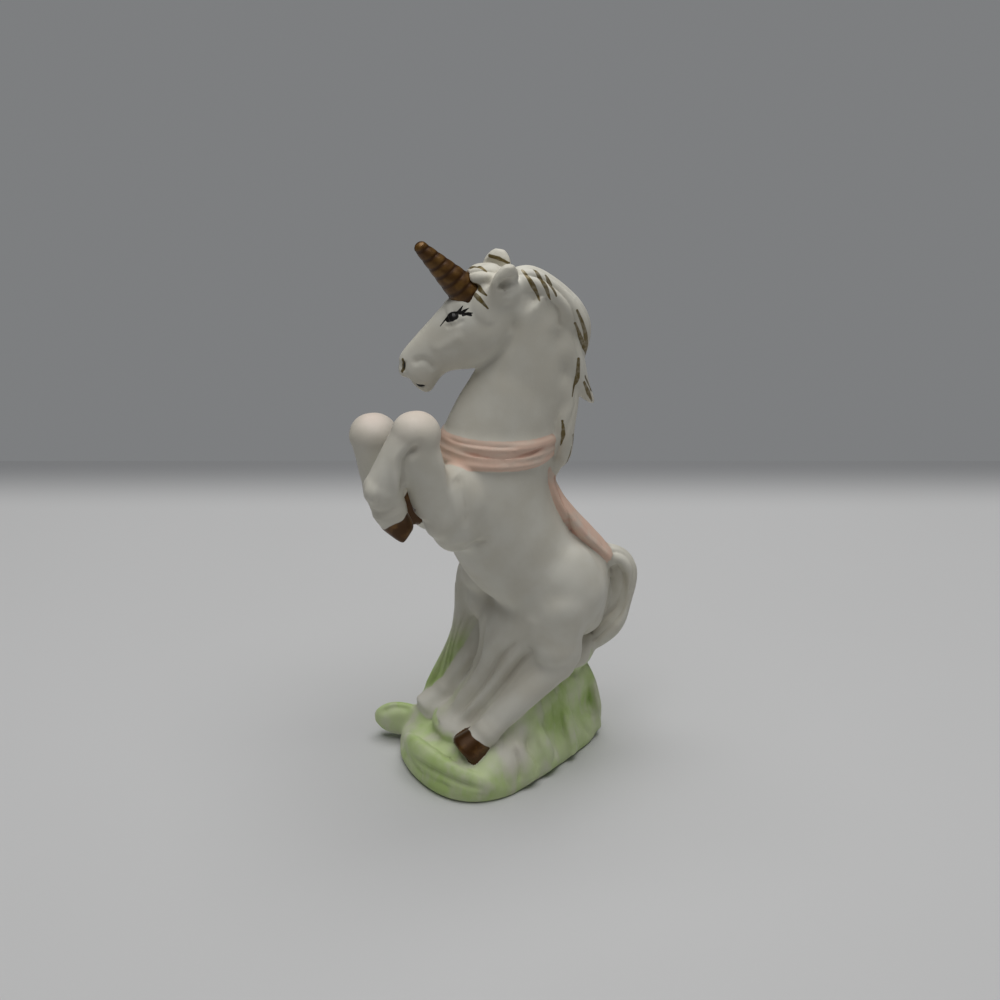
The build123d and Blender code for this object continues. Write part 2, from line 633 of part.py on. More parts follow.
grass_carriers = [mound_body, *legs, parts["grass_support"], parts["tail"]]
for leaf_name, rows in [("corner_leaf", CORNER_LEAF_SHARES), ("front_leaf", FRONT_LEAF_SHARES)]:
    leaf = seated(make_leaf(rows), *grass_carriers)
    parts[leaf_name] = leaf
    grass_carriers.append(leaf)
tall = seated(make_blade(TALL_BLADE_SHARES, Vector(1, 0, 0)), whole_trunk, *grass_carriers)
parts["tall_blade"] = tall
grass_carriers.append(tall)
for group_name, group in [("side_blades", SIDE_BLADE_SHARES), ("rear_blades", REAR_BLADE_SHARES)]:
    blades = []
    for rows in group:
        outward = mound_point(rows[0][0], rows[0][1], 0)
        blade = seated(make_blade(rows, outward.cross(up_axis)), *grass_carriers)
        blades.append(blade)
        grass_carriers.append(blade)
    parts[group_name] = Compound(blades)

os.makedirs("parts", exist_ok=True)
for name, piece in parts.items():
    export_step(piece, os.path.join("parts", name + ".step"))
    box = piece.bounding_box()
    print(name, round(piece.volume), box.min, box.max)
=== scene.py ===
import bpy
import json
import math
import numpy as np
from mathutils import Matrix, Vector
from mathutils.bvhtree import BVHTree


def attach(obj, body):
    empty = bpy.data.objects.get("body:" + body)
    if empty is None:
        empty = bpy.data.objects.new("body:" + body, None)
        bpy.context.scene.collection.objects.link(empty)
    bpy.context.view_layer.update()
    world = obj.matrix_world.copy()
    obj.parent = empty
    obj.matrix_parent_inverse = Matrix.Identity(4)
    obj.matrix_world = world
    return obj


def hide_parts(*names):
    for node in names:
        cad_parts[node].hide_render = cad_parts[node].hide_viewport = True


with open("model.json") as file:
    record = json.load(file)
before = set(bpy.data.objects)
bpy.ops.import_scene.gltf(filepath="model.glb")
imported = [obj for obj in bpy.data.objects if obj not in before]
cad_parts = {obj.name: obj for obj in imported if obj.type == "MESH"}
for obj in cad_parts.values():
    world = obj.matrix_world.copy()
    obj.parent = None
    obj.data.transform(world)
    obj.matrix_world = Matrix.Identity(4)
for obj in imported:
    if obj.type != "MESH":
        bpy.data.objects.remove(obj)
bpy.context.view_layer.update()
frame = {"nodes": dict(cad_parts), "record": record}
nodes = frame["nodes"]
mm = 0.001  # places below are millimetres in the CAD frame


# small helpers
def activate(obj):
    bpy.ops.object.select_all(action="DESELECT")
    obj.select_set(True)
    bpy.context.view_layer.objects.active = obj


def applyModifier(obj, kind, **settings):
    activate(obj)
    bpy.ops.object.modifier_add(type=kind)
    modifier = obj.modifiers[-1]
    for key, value in settings.items():
        setattr(modifier, key, value)
    bpy.ops.object.modifier_apply(modifier=modifier.name)


def readPoints(mesh):
    values = np.empty(len(mesh.vertices) * 3, np.float32)
    mesh.vertices.foreach_get("co", values)
    return values.reshape(-1, 3).astype(float) / mm


def readNormals(mesh):
    values = np.empty(len(mesh.vertices) * 3, np.float32)
    mesh.vertex_normals.foreach_get("vector", values)
    return values.reshape(-1, 3).astype(float)


def writePoints(mesh, places):
    mesh.vertices.foreach_set("co", (places * mm).astype(np.float32).ravel())
    mesh.update()


def writeAttribute(mesh, name, values):
    attribute = mesh.attributes.new(name, "FLOAT", "POINT")
    attribute.data.foreach_set("value", np.asarray(values, np.float32))


# the clay: every node but the horn, joined and remeshed so that the luted joints blend
print("stage: clay")
clay = {
    "voxel": 0.285, "passes": 19, "weld": 0.002,
    "plug": {"place": (2.4, 1.05, 1.7), "radius": 3.8, "depth": 3.4},  # closes the vent for the remesh
    "slip": {  # dabs of slip pressed into the joints: centre and half sizes
        "poll": ((2.0, 0.0, 108.0), (3.8, 3.0, 4.2)),
        "earRoot": ((-0.6, -2.4, 109.0), (2.4, 1.8, 2.6)),
        "haunch": ((9.4, -6.2, 42.5), (9.4, 6.9, 12.0)),
        "farHaunch": ((9.6, 6.0, 43.5), (9.6, 6.6, 11.5)),
        "stifle": ((5.0, -6.4, 37.5), (6.0, 5.2, 7.5)),
        "farStifle": ((1.0, 7.2, 40.0), (6.5, 4.2, 7.0)),
        "gaskin": ((8.0, -8.6, 31.0), (5.4, 4.6, 6.5)),
        "arm": ((-13.4, -5.6, 67.4), (6.9, 5.3, 8.4)),
        "elbow": ((-13.6, -5.8, 63.5), (5.6, 4.9, 7.0)),
        "farArm": ((-14.8, 5.6, 66.6), (8.0, 5.3, 8.4)),
        "farElbow": ((-14.4, 5.8, 62.5), (6.0, 4.9, 6.5)),
        "knee": ((-22.0, -7.4, 84.2), (5.0, 4.6, 4.7)),
        "farKnee": ((-26.6, 7.2, 79.0), (5.0, 4.6, 4.4)),
        "dock": ((20.0, 0.0, 41.0), (3.4, 4.2, 5.5)),
        "hornSeat": ((-9.7, 1.8, 110.1), (2.2, 2.2, 2.2)),
        "groin": ((-2.4, 7.0, 36.4), (4.2, 4.4, 6.0)),
        "tailFoot": ((15.0, 0.2, 24.2), (5.0, 5.6, 5.2)),
        "nape": ((9.2, 0.0, 71.4), (2.4, 3.2, 4.4)),
        "jaw": ((0.6, -2.2, 105.2), (1.7, 1.5, 2.2)), "farJaw": ((0.9, 2.3, 105.2), (1.7, 1.5, 2.2)),
        "jowl": ((-0.9, -2.2, 100.6), (1.7, 1.5, 2.2)), "farJowl": ((-0.4, 2.5, 100.6), (1.7, 1.5, 2.2)),
        "tailWeb": ((20.8, 0.9, 35.6), (3.6, 2.4, 9.4)),
        "ramp": ((-10.0, 0.2, 10.4), (7.6, 8.0, 3.4)),
        "earCup": ((-2.0, -3.7, 109.4), (1.9, 1.4, 2.2)),
        "maneRoot": ((8.2, -1.2, 102.4), (2.8, 3.0, 4.5)),
        "maneMiddle": ((10.2, -1.6, 95.5), (2.4, 3.0, 4.5)),
        "maneLow": ((10.4, -1.8, 87.5), (2.2, 3.0, 4.5)),
        "farHoofBed": ((-14.6, 9.0, 6.2), (5.2, 5.0, 4.4)),
        "farToe": ((-14.6, 9.1, 9.8), (3.6, 3.9, 3.2)),
    },
    "zones": {  # places where two masses run into one: centre, radius
        "haunch": ((9.0, -9.0, 43.0), 13.0), "farHaunch": ((8.0, 9.0, 43.0), 13.0),
        "stifle": ((3.0, -8.0, 36.0), 6.0), "farStifle": ((1.0, 8.0, 38.0), 7.0),
        "elbow": ((-14.0, -8.0, 63.0), 6.5), "farElbow": ((-14.0, 8.0, 62.0), 6.5),
        "shoulder": ((-12.0, -6.0, 74.0), 5.0), "farShoulder": ((-12.0, 6.0, 74.0), 5.0),
        "throat": ((-2.0, 0.0, 96.0), 4.5), "nape": ((1.0, 0.0, 107.0), 5.0),
        "temple": ((-5.6, -3.6, 108.0), 3.0), "support": ((-9.0, 0.0, 12.0), 7.0),
        "maneRoot": ((7.0, -3.4, 104.0), 3.6), "maneMiddle": ((9.4, -3.6, 95.5), 3.6),
        "maneLow": ((10.0, -4.0, 87.5), 3.6), "arm": ((-15.0, -10.0, 73.0), 7.0),
        "farArm": ((-15.0, 10.0, 71.0), 7.0), "nearRim": ((0.5, -14.0, 3.6), 5.0),
        "middleRim": ((6.5, -11.4, 3.6), 5.0), "rearRim": ((14.0, -7.6, 3.6), 5.0),
        "backRim": ((21.0, 0.0, 4.0), 4.0),
        "farToe": ((-14.6, 9.0, 8.6), 5.0), "chest": ((-13.0, -4.5, 56.6), 5.0),
        "farChest": ((-13.0, 4.5, 56.2), 5.0), "tailFoot": ((17.0, -3.0, 26.0), 5.0),
        "farTailFoot": ((17.0, 3.0, 26.0), 5.0),
    },
    # the raised hoof stands clear of the chest: centre, reach, side of it, share of the width that stays
    "trims": {
        "left_fore_hoof": ((-27.7, -7.0, 68.75), 20.0, 1, 0.84),
        "left_foreleg": ((-17.8, -6.8, 65.3), 4.8, -1, 0.66),
    },
    "masses": ("trunk", "neck", "head", "left_foreleg", "right_foreleg", "left_hind_leg", "right_hind_leg",
               "mound", "grass_support", "mane_upper_lock", "mane_middle_lock", "mane_lower_lock"),
    "slipFrom": 0.6,  # farther than this from the CAD is slip
    "zonePasses": 118,
    "blend": {"trunk": 1, "neck": 1, "head": 0.5, "left_foreleg": 1, "right_foreleg": 1,
              "left_hind_leg": 1, "right_hind_leg": 1, "mound": 0.8, "grass_support": 0.9, "tail": 0.5,
              "back_ribbon": 0.5, "sash": 0.25, "mane_upper_lock": 0.5, "mane_middle_lock": 0.5,
              "mane_lower_lock": 0.5, "left_ear": 0.6, "right_ear": 0.6, "corner_leaf": 0.5,
              "front_leaf": 0.7, "right_hind_hoof": 0.8,
              "side_blades": 0.9, "rear_blades": 0.9, "tall_blade": 0.7, "left_fore_hoof": 0.6,
              "right_fore_hoof": 0.8, "left_hind_hoof": 0.6},
    "otherBlend": 0.3, "softFrom": 0.5, "stiff": ("tail", "back_ribbon"),
}
clayNodes = [name for name in sorted(nodes) if name != "horn"]
corners, faces, faceOwner, copies = [], [], [], []
for index, name in enumerate(clayNodes):
    copy = bpy.data.objects.new("clay_" + name, nodes[name].data.copy())
    bpy.context.scene.collection.objects.link(copy)
    if name in clay["trims"]:
        centre, reach, side, stays = clay["trims"][name]
        places = readPoints(copy.data)
        gap = places - centre
        trimmed = (np.linalg.norm(gap, axis=1) < reach) & (side * gap[:, 0] > 0)
        places[trimmed, 0] = centre[0] + stays * gap[trimmed, 0]
        writePoints(copy.data, places)
    activate(copy)
    bpy.ops.object.mode_set(mode="EDIT")
    bpy.ops.mesh.select_all(action="SELECT")
    bpy.ops.mesh.remove_doubles(threshold=clay["weld"] * mm)
    bpy.ops.object.mode_set(mode="OBJECT")
    first = len(corners)
    corners += [v.co.copy() for v in copy.data.vertices]
    faces += [[first + k for k in p.vertices] for p in copy.data.polygons]
    faceOwner += [index] * len(copy.data.polygons)
    copies.append(copy)
surface = BVHTree.FromPolygons(corners, faces)

plug = clay["plug"]
bpy.ops.mesh.primitive_cylinder_add(vertices=48, radius=plug["radius"] * mm, depth=plug["depth"] * mm,
                                    location=Vector(plug["place"]) * mm)
copies.append(bpy.context.object)
for centre, half in clay["slip"].values():
    bpy.ops.mesh.primitive_uv_sphere_add(segments=32, ring_count=16, radius=mm, location=Vector(centre) * mm)
    bpy.context.object.scale = half
    bpy.ops.object.transform_apply(location=True, rotation=True, scale=True)
    copies.append(bpy.context.object)
activate(copies[0])
for copy in copies:
    copy.select_set(True)
bpy.ops.object.join()
figure = bpy.context.object
figure.data.materials.clear()
applyModifier(figure, "REMESH", mode="VOXEL", voxel_size=clay["voxel"] * mm)

# only the outer skin is kept
bpy.ops.object.mode_set(mode="EDIT")
bpy.ops.mesh.select_all(action="SELECT")
bpy.ops.mesh.separate(type="LOOSE")
bpy.ops.object.mode_set(mode="OBJECT")
shells = sorted(bpy.context.selected_objects, key=lambda shell: len(shell.data.vertices))
figure = shells.pop()
figure.name = "figure"
for shell in shells:
    bpy.data.objects.remove(shell, do_unlink=True)
mesh = figure.data
print("clay faces", len(mesh.polygons), "loose shells", len(shells))


# every face remembers the node it came from, and faces on the slip take the nearest of the big masses
def faceCentres():
    centres = np.empty(len(mesh.polygons) * 3, np.float32)
    mesh.polygons.foreach_get("center", centres)
    return centres.reshape(-1, 3)


masses = [k for k in range(len(faces)) if clayNodes[faceOwner[k]] in clay["masses"]]
massSurface = BVHTree.FromPolygons(corners, [faces[k] for k in masses])
owner = []
for centre in faceCentres():
    _, _, hit, away = surface.find_nearest(Vector(centre))
    if away > clay["slipFrom"] * mm:
        hit = masses[massSurface.find_nearest(Vector(centre))[2]]
    owner.append(faceOwner[hit])
owner = np.array(owner, np.int32)
for name in clayNodes:
    mesh.materials.append(bpy.data.materials.new("keep_" + name))
mesh.polygons.foreach_set("material_index", owner)


def ownersOfPoints():
    faceNode = np.empty(len(mesh.polygons), np.int32)
    mesh.polygons.foreach_get("material_index", faceNode)
    loopVertex = np.empty(len(mesh.loops), np.int32)
    mesh.loops.foreach_get("vertex_index", loopVertex)
    loopTotal = np.empty(len(mesh.polygons), np.int32)
    mesh.polygons.foreach_get("loop_total", loopTotal)
    result = np.zeros(len(mesh.vertices), np.int32)
    result[loopVertex] = np.repeat(faceNode, loopTotal)
    return result


# the big masses blend softly, the thin pieces keep their edges
def smoothBy(shares, passes):
    group = figure.vertex_groups.new(name="blend")
    steps = np.round(shares, 1)
    for share in np.unique(steps[steps > 0]):
        group.add([int(i) for i in np.nonzero(steps == share)[0]], float(share), "REPLACE")
    applyModifier(figure, "SMOOTH", factor=0.5, iterations=passes, vertex_group="blend")
    bpy.ops.object.vertex_group_remove(all=True)


pointOwner = ownersOfPoints()
blendShares = np.array([clay["blend"].get(name, clay["otherBlend"]) for name in clayNodes])
smoothBy(blendShares[pointOwner], clay["passes"])
mesh = figure.data
points = readPoints(mesh)
inZone = np.zeros(len(points))
for centre, radius in clay["zones"].values():
    inZone = np.maximum(inZone, np.exp(-(np.linalg.norm(points - centre, axis=1) / radius) ** 4))
softNodes = [name for name in clayNodes if clay["blend"].get(name, 0) >= clay["softFrom"]]
softNodes = [name for name in softNodes if name not in clay["stiff"]] + ["forelock"]
inZone[~np.isin(pointOwner, [clayNodes.index(name) for name in softNodes])] = 0
smoothBy(inZone, clay["zonePasses"])
mesh = figure.data
print("stage: clay smoothed")


# paths over the surface
headTurn = {"poll": np.array((0.4, 0.0, 106.0)), "angle": math.radians(10.0)}


def mirrorHead(path):
    turn = headTurn["angle"]
    there = np.array([[math.cos(turn), -math.sin(turn), 0], [math.sin(turn), math.cos(turn), 0], [0, 0, 1]])
    straight = (np.array(path, float) - headTurn["poll"]) @ there.T
    straight[:, 1] *= -1
    return straight @ there + headTurn["poll"]


def mirrorBody(path):
    return np.array(path, float) * (1, -1, 1)


def curve(path, step=0.35):
    knots = np.array(path, float)
    if len(knots) == 1:
        return knots
    ends = np.vstack([2 * knots[0] - knots[1], knots, 2 * knots[-1] - knots[-2]])
    result = []
    for a, b, c, d in zip(ends, ends[1:], ends[2:], ends[3:]):
        count = max(2, int(np.linalg.norm(c - b) / step))
        for t in np.arange(count) / count:
            result.append(0.5 * (2 * b + (c - a) * t + (2 * a - 5 * b + 4 * c - d) * t * t
                                 + (3 * b - a - 3 * c + d) * t ** 3))
    return np.array(result + [knots[-1]])


def onSurface(path):
    return np.array([np.array(skin.find_nearest(Vector(p) * mm)[0]) / mm for p in curve(path)])


def toPath(path, reach):
    low, high = path.min(0) - reach, path.max(0) + reach
    index = np.nonzero(np.all((points > low) & (points < high), axis=1))[0]
    here = points[index]
    best = np.full(len(index), 1e9)
    along = np.zeros(len(index))
    offset = np.zeros((len(index), 3))
    tangent = np.tile((1.0, 0.0, 0.0), (len(index), 1))
    pieces = max(1, len(path) - 1)
    for k in range(pieces):
        start, run = path[k], path[min(k + 1, len(path) - 1)] - path[k]
        length = max(run @ run, 1e-9)
        t = np.clip((here - start) @ run / length, 0, 1)
        gap = here - start - t[:, None] * run
        distance = np.linalg.norm(gap, axis=1)
        closer = distance < best
        best[closer] = distance[closer]
        along[closer] = (k + t[closer]) / pieces
        offset[closer] = gap[closer]
        tangent[closer] = run / math.sqrt(length)
    return index, best, along, offset, tangent


def swell(path, width, height, ends=0.25):
    route = onSurface(path)
    index, distance, along, _, _ = toPath(route, 2.5 * width)
    taper = 1.0
    if len(route) > 1 and width < 2:  # narrow forms run out softly at both ends
        taper = np.clip(np.minimum(along, 1 - along) / ends, 0, 1)
    taper = taper * taper * (3 - 2 * taper)
    lift[index] += height * taper * np.exp(-(distance / width) ** 2)


def relax(values, times):
    for _ in range(times):
        total = np.bincount(edgeA, values[edgeB], len(values))
        total += np.bincount(edgeB, values[edgeA], len(values))
        values = 0.5 * values + 0.5 * total / degree
    return values


def isOf(*names):
    return np.isin(pointOwner, [clayNodes.index(name) for name in names]).astype(float)


combing = {"soften": 10, "reach": 9.0, "wave": 0.25, "sharp": 2.0, "ends": 0.12, "least": 0.25}


def comb(name, path, count, twist, depth):
    weight = relax(isOf(name), combing["soften"])
    index, _, along, offset, tangent = toPath(curve(path), combing["reach"])
    side = np.array((0.0, 1.0, 0.0)) - tangent * tangent[:, 1:2]
    out = np.cross(tangent, side)
    turn = np.arctan2((offset * side).sum(1), (offset * out).sum(1))
    phase = turn / (2 * math.pi) * count + twist * along + combing["wave"] * np.sin(7 * along + 2 * turn)
    valley = np.abs(2 * (phase - np.floor(phase)) - 1) ** combing["sharp"]
    ends = np.clip(np.minimum(along, 1 - along) / combing["ends"], combing["least"], 1)
    lift[index] -= depth * weight[index] * ends * valley


def press():
    global points, normals, skin
    writePoints(mesh, points + normals * lift[:, None])
    points, normals = readPoints(mesh), readNormals(mesh)
    skin = BVHTree.FromPolygons([Vector(p) * mm for p in points], [p.vertices for p in mesh.polygons])
    lift[:] = 0


def meshLinks():
    edges = np.empty(len(mesh.edges) * 2, np.int32)
    mesh.edges.foreach_get("vertices", edges)
    a, b = edges.reshape(-1, 2).T
    count = len(mesh.vertices)
    return a, b, np.bincount(a, minlength=count) + np.bincount(b, minlength=count)


def middleOfNeighbours():
    sums = []
    for k in range(3):
        fromA = np.bincount(edgeA, points[edgeB, k], len(points))
        fromB = np.bincount(edgeB, points[edgeA, k], len(points))
        sums.append(fromA + fromB)
    return np.stack(sums, axis=1) / degree[:, None]


# strokes of the brush: path, then width at the start, the middle and the end
face = {
    "eye": [((-12.9, -0.7, 104.4), (-12.3, -1.1, 104.8), (-11.7, -1.4, 105.1)), (1.2, 1.7, 1.3)],
    "lid": [((-14.4, -0.2, 103.0), (-13.6, -0.5, 104.3), (-12.4, -0.8, 105.5), (-10.9, -1.8, 105.8),
             (-9.0, -3.0, 105.5)), (0.16, 0.6, 0.4)],
    "lashes": [[((-11.4, -1.5, 105.7), (-10.8, -1.6, 106.3), (-10.2, -1.6, 107.1)), (0.55, 0.55, 0.14)],
               [((-10.8, -1.8, 105.7), (-10.0, -2.0, 106.2), (-9.2, -2.2, 106.7)), (0.55, 0.55, 0.14)],
               [((-10.4, -2.2, 105.5), (-9.5, -2.6, 105.8), (-8.6, -3.0, 105.9)), (0.6, 0.55, 0.14)]],
    "lowerLid": [(-13.9, -0.7, 102.9), (-12.6, -1.4, 103.3), (-11.2, -2.2, 103.9), (-10.0, -2.8, 104.7)],
    "brow": [(-14.0, 0.4, 106.2), (-12.0, -0.6, 107.6), (-9.6, -2.3, 107.6)],
    "nostril": [((-21.5, 2.4, 96.1), (-21.4, 2.2, 95.0), (-21.6, 2.5, 93.6)), (0.55, 1.0, 0.6)],
    "mouth": [((-19.3, 1.5, 91.3), (-18.4, 1.3, 90.7), (-17.5, 1.0, 90.7)), (0.5, 0.75, 0.25)],
    "lips": [(-21.0, 3.8, 92.0), (-19.6, 2.0, 91.4), (-18.2, 1.2, 90.8), (-16.6, 0.9, 91.4)],
    "lipFold": [(-20.4, 0.9, 95.4), (-18.2, 0.2, 96.4), (-16.4, -0.2, 95.4), (-16.0, -0.2, 93.6)],
    "cheek": [(-7.4, -0.6, 93.0), (-4.2, -2.2, 95.4), (-1.6, -3.0, 98.2), (-0.3, -3.4, 101.4),
              (-0.6, -3.5, 105.6)],
    "crest": [(-10.0, -2.6, 102.0), (-13.4, -1.4, 99.6), (-16.4, -0.4, 97.8)],
}
strokes = {
    "forelock": [(-7.4, 3.0, 113.0), (-6.6, 0.8, 113.9), (-5.4, -1.6, 113.6)],
    "templeUpper": [(-8.4, -0.6, 111.4), (-7.3, -2.1, 110.5), (-6.1, -3.9, 109.4)],
    "templeLower": [(-8.9, -1.2, 110.4), (-7.7, -3.2, 109.0), (-6.1, -4.6, 107.0)],
    "farEar": [(-2.2, 5.6, 114.2), (-1.0, 4.0, 113.8), (0.8, 2.8, 113.0)],
    "crownFront": [(2.0, -1.8, 113.2), (3.3, -3.4, 110.6), (5.4, -3.2, 106.3)],
    "crownMiddle": [(4.6, -2.0, 113.3), (5.8, -3.7, 110.4), (7.0, -3.9, 106.9)],
    "crownBack": [(6.9, -2.9, 112.0), (7.5, -4.0, 110.1), (8.1, -4.3, 107.8)],
    "locksOuter": [(12.6, -4.6, 104.4), (14.6, -3.8, 99.3), (16.4, -0.6, 93.2)],
    "locksInner": [(12.1, -4.2, 101.5), (14.0, -3.5, 97.7), (16.2, -0.6, 93.2)],
    "middleLock": [(12.9, -4.7, 94.3), (12.9, -4.3, 90.2), (11.9, -4.5, 86.4)],
    "tipUpper": [(14.8, -4.0, 90.2), (16.0, -2.8, 88.0), (17.4, -1.4, 85.5)],
    "tipLower": [(14.5, -4.2, 89.0), (15.8, -3.4, 86.4), (17.2, -2.1, 83.7)],
    "lowerLock": [(9.9, -4.0, 81.5), (10.2, -3.8, 79.0), (10.3, -3.2, 76.2)],
    "lowerTip": [(11.0, -3.4, 75.5), (11.1, -3.0, 72.9), (10.9, -2.4, 70.4)],
    "lowerOuter": [(11.4, -4.3, 78.2), (12.0, -3.7, 76.2), (12.3, -3.0, 73.8)],
}
strokeWidth = (0.55, 1.0, 0.3)
goldPaths = [curve(path) for path in strokes.values()]
goldPaths += [mirrorHead(curve(strokes[name])) for name in ("templeUpper", "templeLower")]
onBothSides = ("crownFront", "crownMiddle", "crownBack", "locksOuter", "locksInner", "middleLock",
               "lowerLock", "lowerTip", "lowerOuter")
goldPaths += [mirrorBody(curve(strokes[name])) for name in onBothSides]
inkStrokes = [face["eye"], face["lid"], *face["lashes"], face["mouth"]]
inkStrokes += [[mirrorHead(path), widths] for path, widths in inkStrokes]
nostrils = [face["nostril"][0], mirrorHead(face["nostril"][0])]

# faces under the fine brushwork are split once more, so that its edges stay crisp
fineReach = 1.3  # how far from a stroke the faces are split
finePaths = goldPaths + [curve(path) for path, _ in inkStrokes] + [curve(path) for path in nostrils]
marks = np.vstack(finePaths) * mm
tree = BVHTree.FromPolygons([Vector(p) for p in marks for _ in range(3)],
                            [(3 * k, 3 * k + 1, 3 * k + 2) for k in range(len(marks))])
close = [tree.find_nearest(Vector(c), fineReach * mm)[0] is not None for c in faceCentres()]
activate(figure)
bpy.ops.object.mode_set(mode="EDIT")
bpy.ops.mesh.select_mode(type="FACE")
bpy.ops.mesh.select_all(action="DESELECT")
bpy.ops.object.mode_set(mode="OBJECT")
mesh.polygons.foreach_set("select", np.array(close))
bpy.ops.object.mode_set(mode="EDIT")
bpy.ops.mesh.subdivide(number_cuts=1, quadcorner="INNERVERT", smoothness=0.0)
bpy.ops.object.mode_set(mode="OBJECT")
mesh = figure.data
pointOwner = ownersOfPoints()
edgeA, edgeB, degree = meshLinks()
points, normals = readPoints(mesh), readNormals(mesh)
lift = np.zeros(len(points))
press()
print("brush faces", sum(close))


# slip runs into narrow pits and softens them
pits = {"passes": 60, "share": 0.6, "most": 0.2, "renew": 6}  # normals are renewed after so many passes


def fillPits():
    global points, normals
    share = pits["share"] * blendShares[pointOwner]
    for step in range(pits["passes"]):
        dip = ((middleOfNeighbours() - points) * normals).sum(1)
        points += normals * (share * np.clip(dip, 0, pits["most"]))[:, None]
        if (step + 1) % pits["renew"] == 0:
            writePoints(mesh, points)
            normals = readNormals(mesh)
    writePoints(mesh, points)
    points, normals = readPoints(mesh), readNormals(mesh)


fillPits()
press()

# modelling of the big forms
print("stage: modelling")
forms = {  # path, width and height
    "cheekRound": [[(-4.6, -4.2, 100.6)], 4.2, 0.55],
    "forearm": [[(-18.8, -10.8, 83.0), (-17.0, -11.2, 76.0), (-15.4, -11.2, 69.0), (-15.2, -10.6, 62.5)],
                1.5, 0.5],
    "elbowCrease": [[(-15.6, -9.8, 60.6), (-13.0, -8.8, 58.8), (-9.6, -8.8, 58.6), (-6.6, -9.6, 59.6)],
                    1.1, -0.45],
    "forearmBack": [[(-14.2, -9.6, 77.0), (-13.2, -9.4, 70.0), (-13.4, -9.4, 63.5)], 1.1, -0.5],
    "ribs": [[(-5.0, -9.8, 66.0)], 6.5, 0.35],
    "flank": [[(4.0, -10.4, 52.0), (1.5, -10.2, 47.5)], 4.0, -0.35],
    "haunch": [[(12.5, -11.5, 42.0)], 7.0, 0.5],
    "thighFold": [[(-1.4, -9.0, 38.6), (2.6, -10.6, 42.0), (5.6, -11.2, 45.0)], 2.6, -0.5],
    "shankFold": [[(2.0, -9.2, 39.0), (2.6, -7.0, 34.6), (3.4, -6.8, 29.5)], 1.5, -0.5],
    "gaskin": [[(9.4, -12.6, 36.0), (9.0, -11.8, 31.0)], 3.0, 0.35],
    "hock": [[(11.4, -9.8, 27.6)], 2.0, 0.4],
    "legGap": [[(-21.2, -11.5, 84.9), (-23.6, -11.4, 82.9), (-25.4, -11.0, 80.9), (-25.5, -10.4, 76.4),
                (-25.4, -9.6, 72.2)], 1.2, -1.3],
    "legEdge": [[(-23.2, -11.5, 84.9), (-25.6, -11.4, 82.9), (-27.4, -11.0, 80.9), (-27.5, -10.4, 76.4),
                 (-27.4, -9.6, 72.2)], 1.0, 0.35],
    "fetlock": [[(-33.0, -7.4, 74.0), (-31.0, -10.8, 73.4)], 1.8, 0.4],
    "pastern": [[(-31.4, -7.4, 70.0), (-29.4, -10.2, 70.0), (-26.6, -10.4, 71.4)], 0.9, -0.35],
    "hindFetlock": [[(-7.6, -11.2, 14.2)], 1.8, 0.35],
    "throat": [[(-2.6, -4.0, 94.0), (1.6, -4.8, 90.5), (5.0, -5.2, 86.0)], 2.4, -0.25],
    "crestLine": [[(6.4, -4.6, 101.0), (7.6, -5.2, 93.0), (7.6, -6.0, 86.0)], 2.2, 0.25],
}
for path, width, height in forms.values():
    swell(path, width, height)
swell(mirrorHead(forms["cheekRound"][0]), *forms["cheekRound"][1:])
for name in ("ribs", "flank", "haunch", "forearm", "hock", "throat", "crestLine"):
    path, width, height = forms[name]
    swell(mirrorBody(path), width, height)
press()

# the face, on both sides of the head
faceRelief = {  # width and height along the paths of the face
    "eye": (1.3, 0.3), "lid": (0.45, -0.16), "lowerLid": (0.45, -0.2), "brow": (0.9, 0.3),
    "nostril": (0.65, -0.45), "lips": (0.5, -0.55), "lipFold": (0.75, -0.42), "cheek": (1.0, -0.35),
    "crest": (1.1, 0.3),
}
brushed = ("eye", "lid", "nostril")  # these hold a path and the widths of a stroke
for side in (lambda path: path, mirrorHead):
    for name, (width, height) in faceRelief.items():
        path = face[name][0] if name in brushed else face[name]
        swell(side(path), width, height)
press()

# hair, ribbon and grass
hair = {
    "mane_upper_lock": {"path": [(0.6, 0, 110.0), (5.3, 0, 109.0), (10.5, 0, 105.6), (13.8, 0, 99.5),
                                 (15.8, 0, 93.0)], "count": 7, "twist": 1.2, "depth": 0.5},
    "mane_middle_lock": {"path": [(9.8, -0.4, 100.5), (12.7, -0.8, 94.0), (14.3, -1.0, 89.0),
                                  (17.3, -1.0, 83.0)], "count": 5, "twist": 1.0, "depth": 0.4},
    "mane_lower_lock": {"path": [(10.5, -0.8, 91.6), (12.0, -1.1, 85.2), (11.6, -1.1, 78.4),
                                 (11.6, -0.8, 70.0)], "count": 5, "twist": 0.8, "depth": 0.4},
    "mane_far_lock": {"path": [(7.1, 3.5, 104.2), (9.6, 5.0, 96.4), (10.0, 5.7, 87.5), (10.8, 5.6, 77.4)],
                      "count": 5, "twist": 0.9, "depth": 0.4},
    "forelock": {"path": [(0.0, 0.2, 111.6), (-4.0, 0.9, 111.8), (-8.0, 1.5, 110.4)],
                 "count": 6, "twist": 0.5, "depth": 0.35},
    "tail": {"path": [(20.4, 0, 44.0), (23.5, 0, 46.2), (26.0, 0, 44.2), (26.7, 0, 38.5), (25.6, 0, 32.0),
                      (21.9, 0, 26.5), (17.7, 0, 23.2)], "count": 6, "twist": 1.0, "depth": 0.45},
    "back_ribbon": {"path": [(7.6, 0, 70.5), (8.4, 0, 65.5), (11.2, 0, 59.5), (15.6, 0, 53.6),
                             (20.6, 0, 47.2)], "count": 6, "twist": 1.4, "depth": 0.6},
}
for name, lock in hair.items():
    comb(name, **lock)

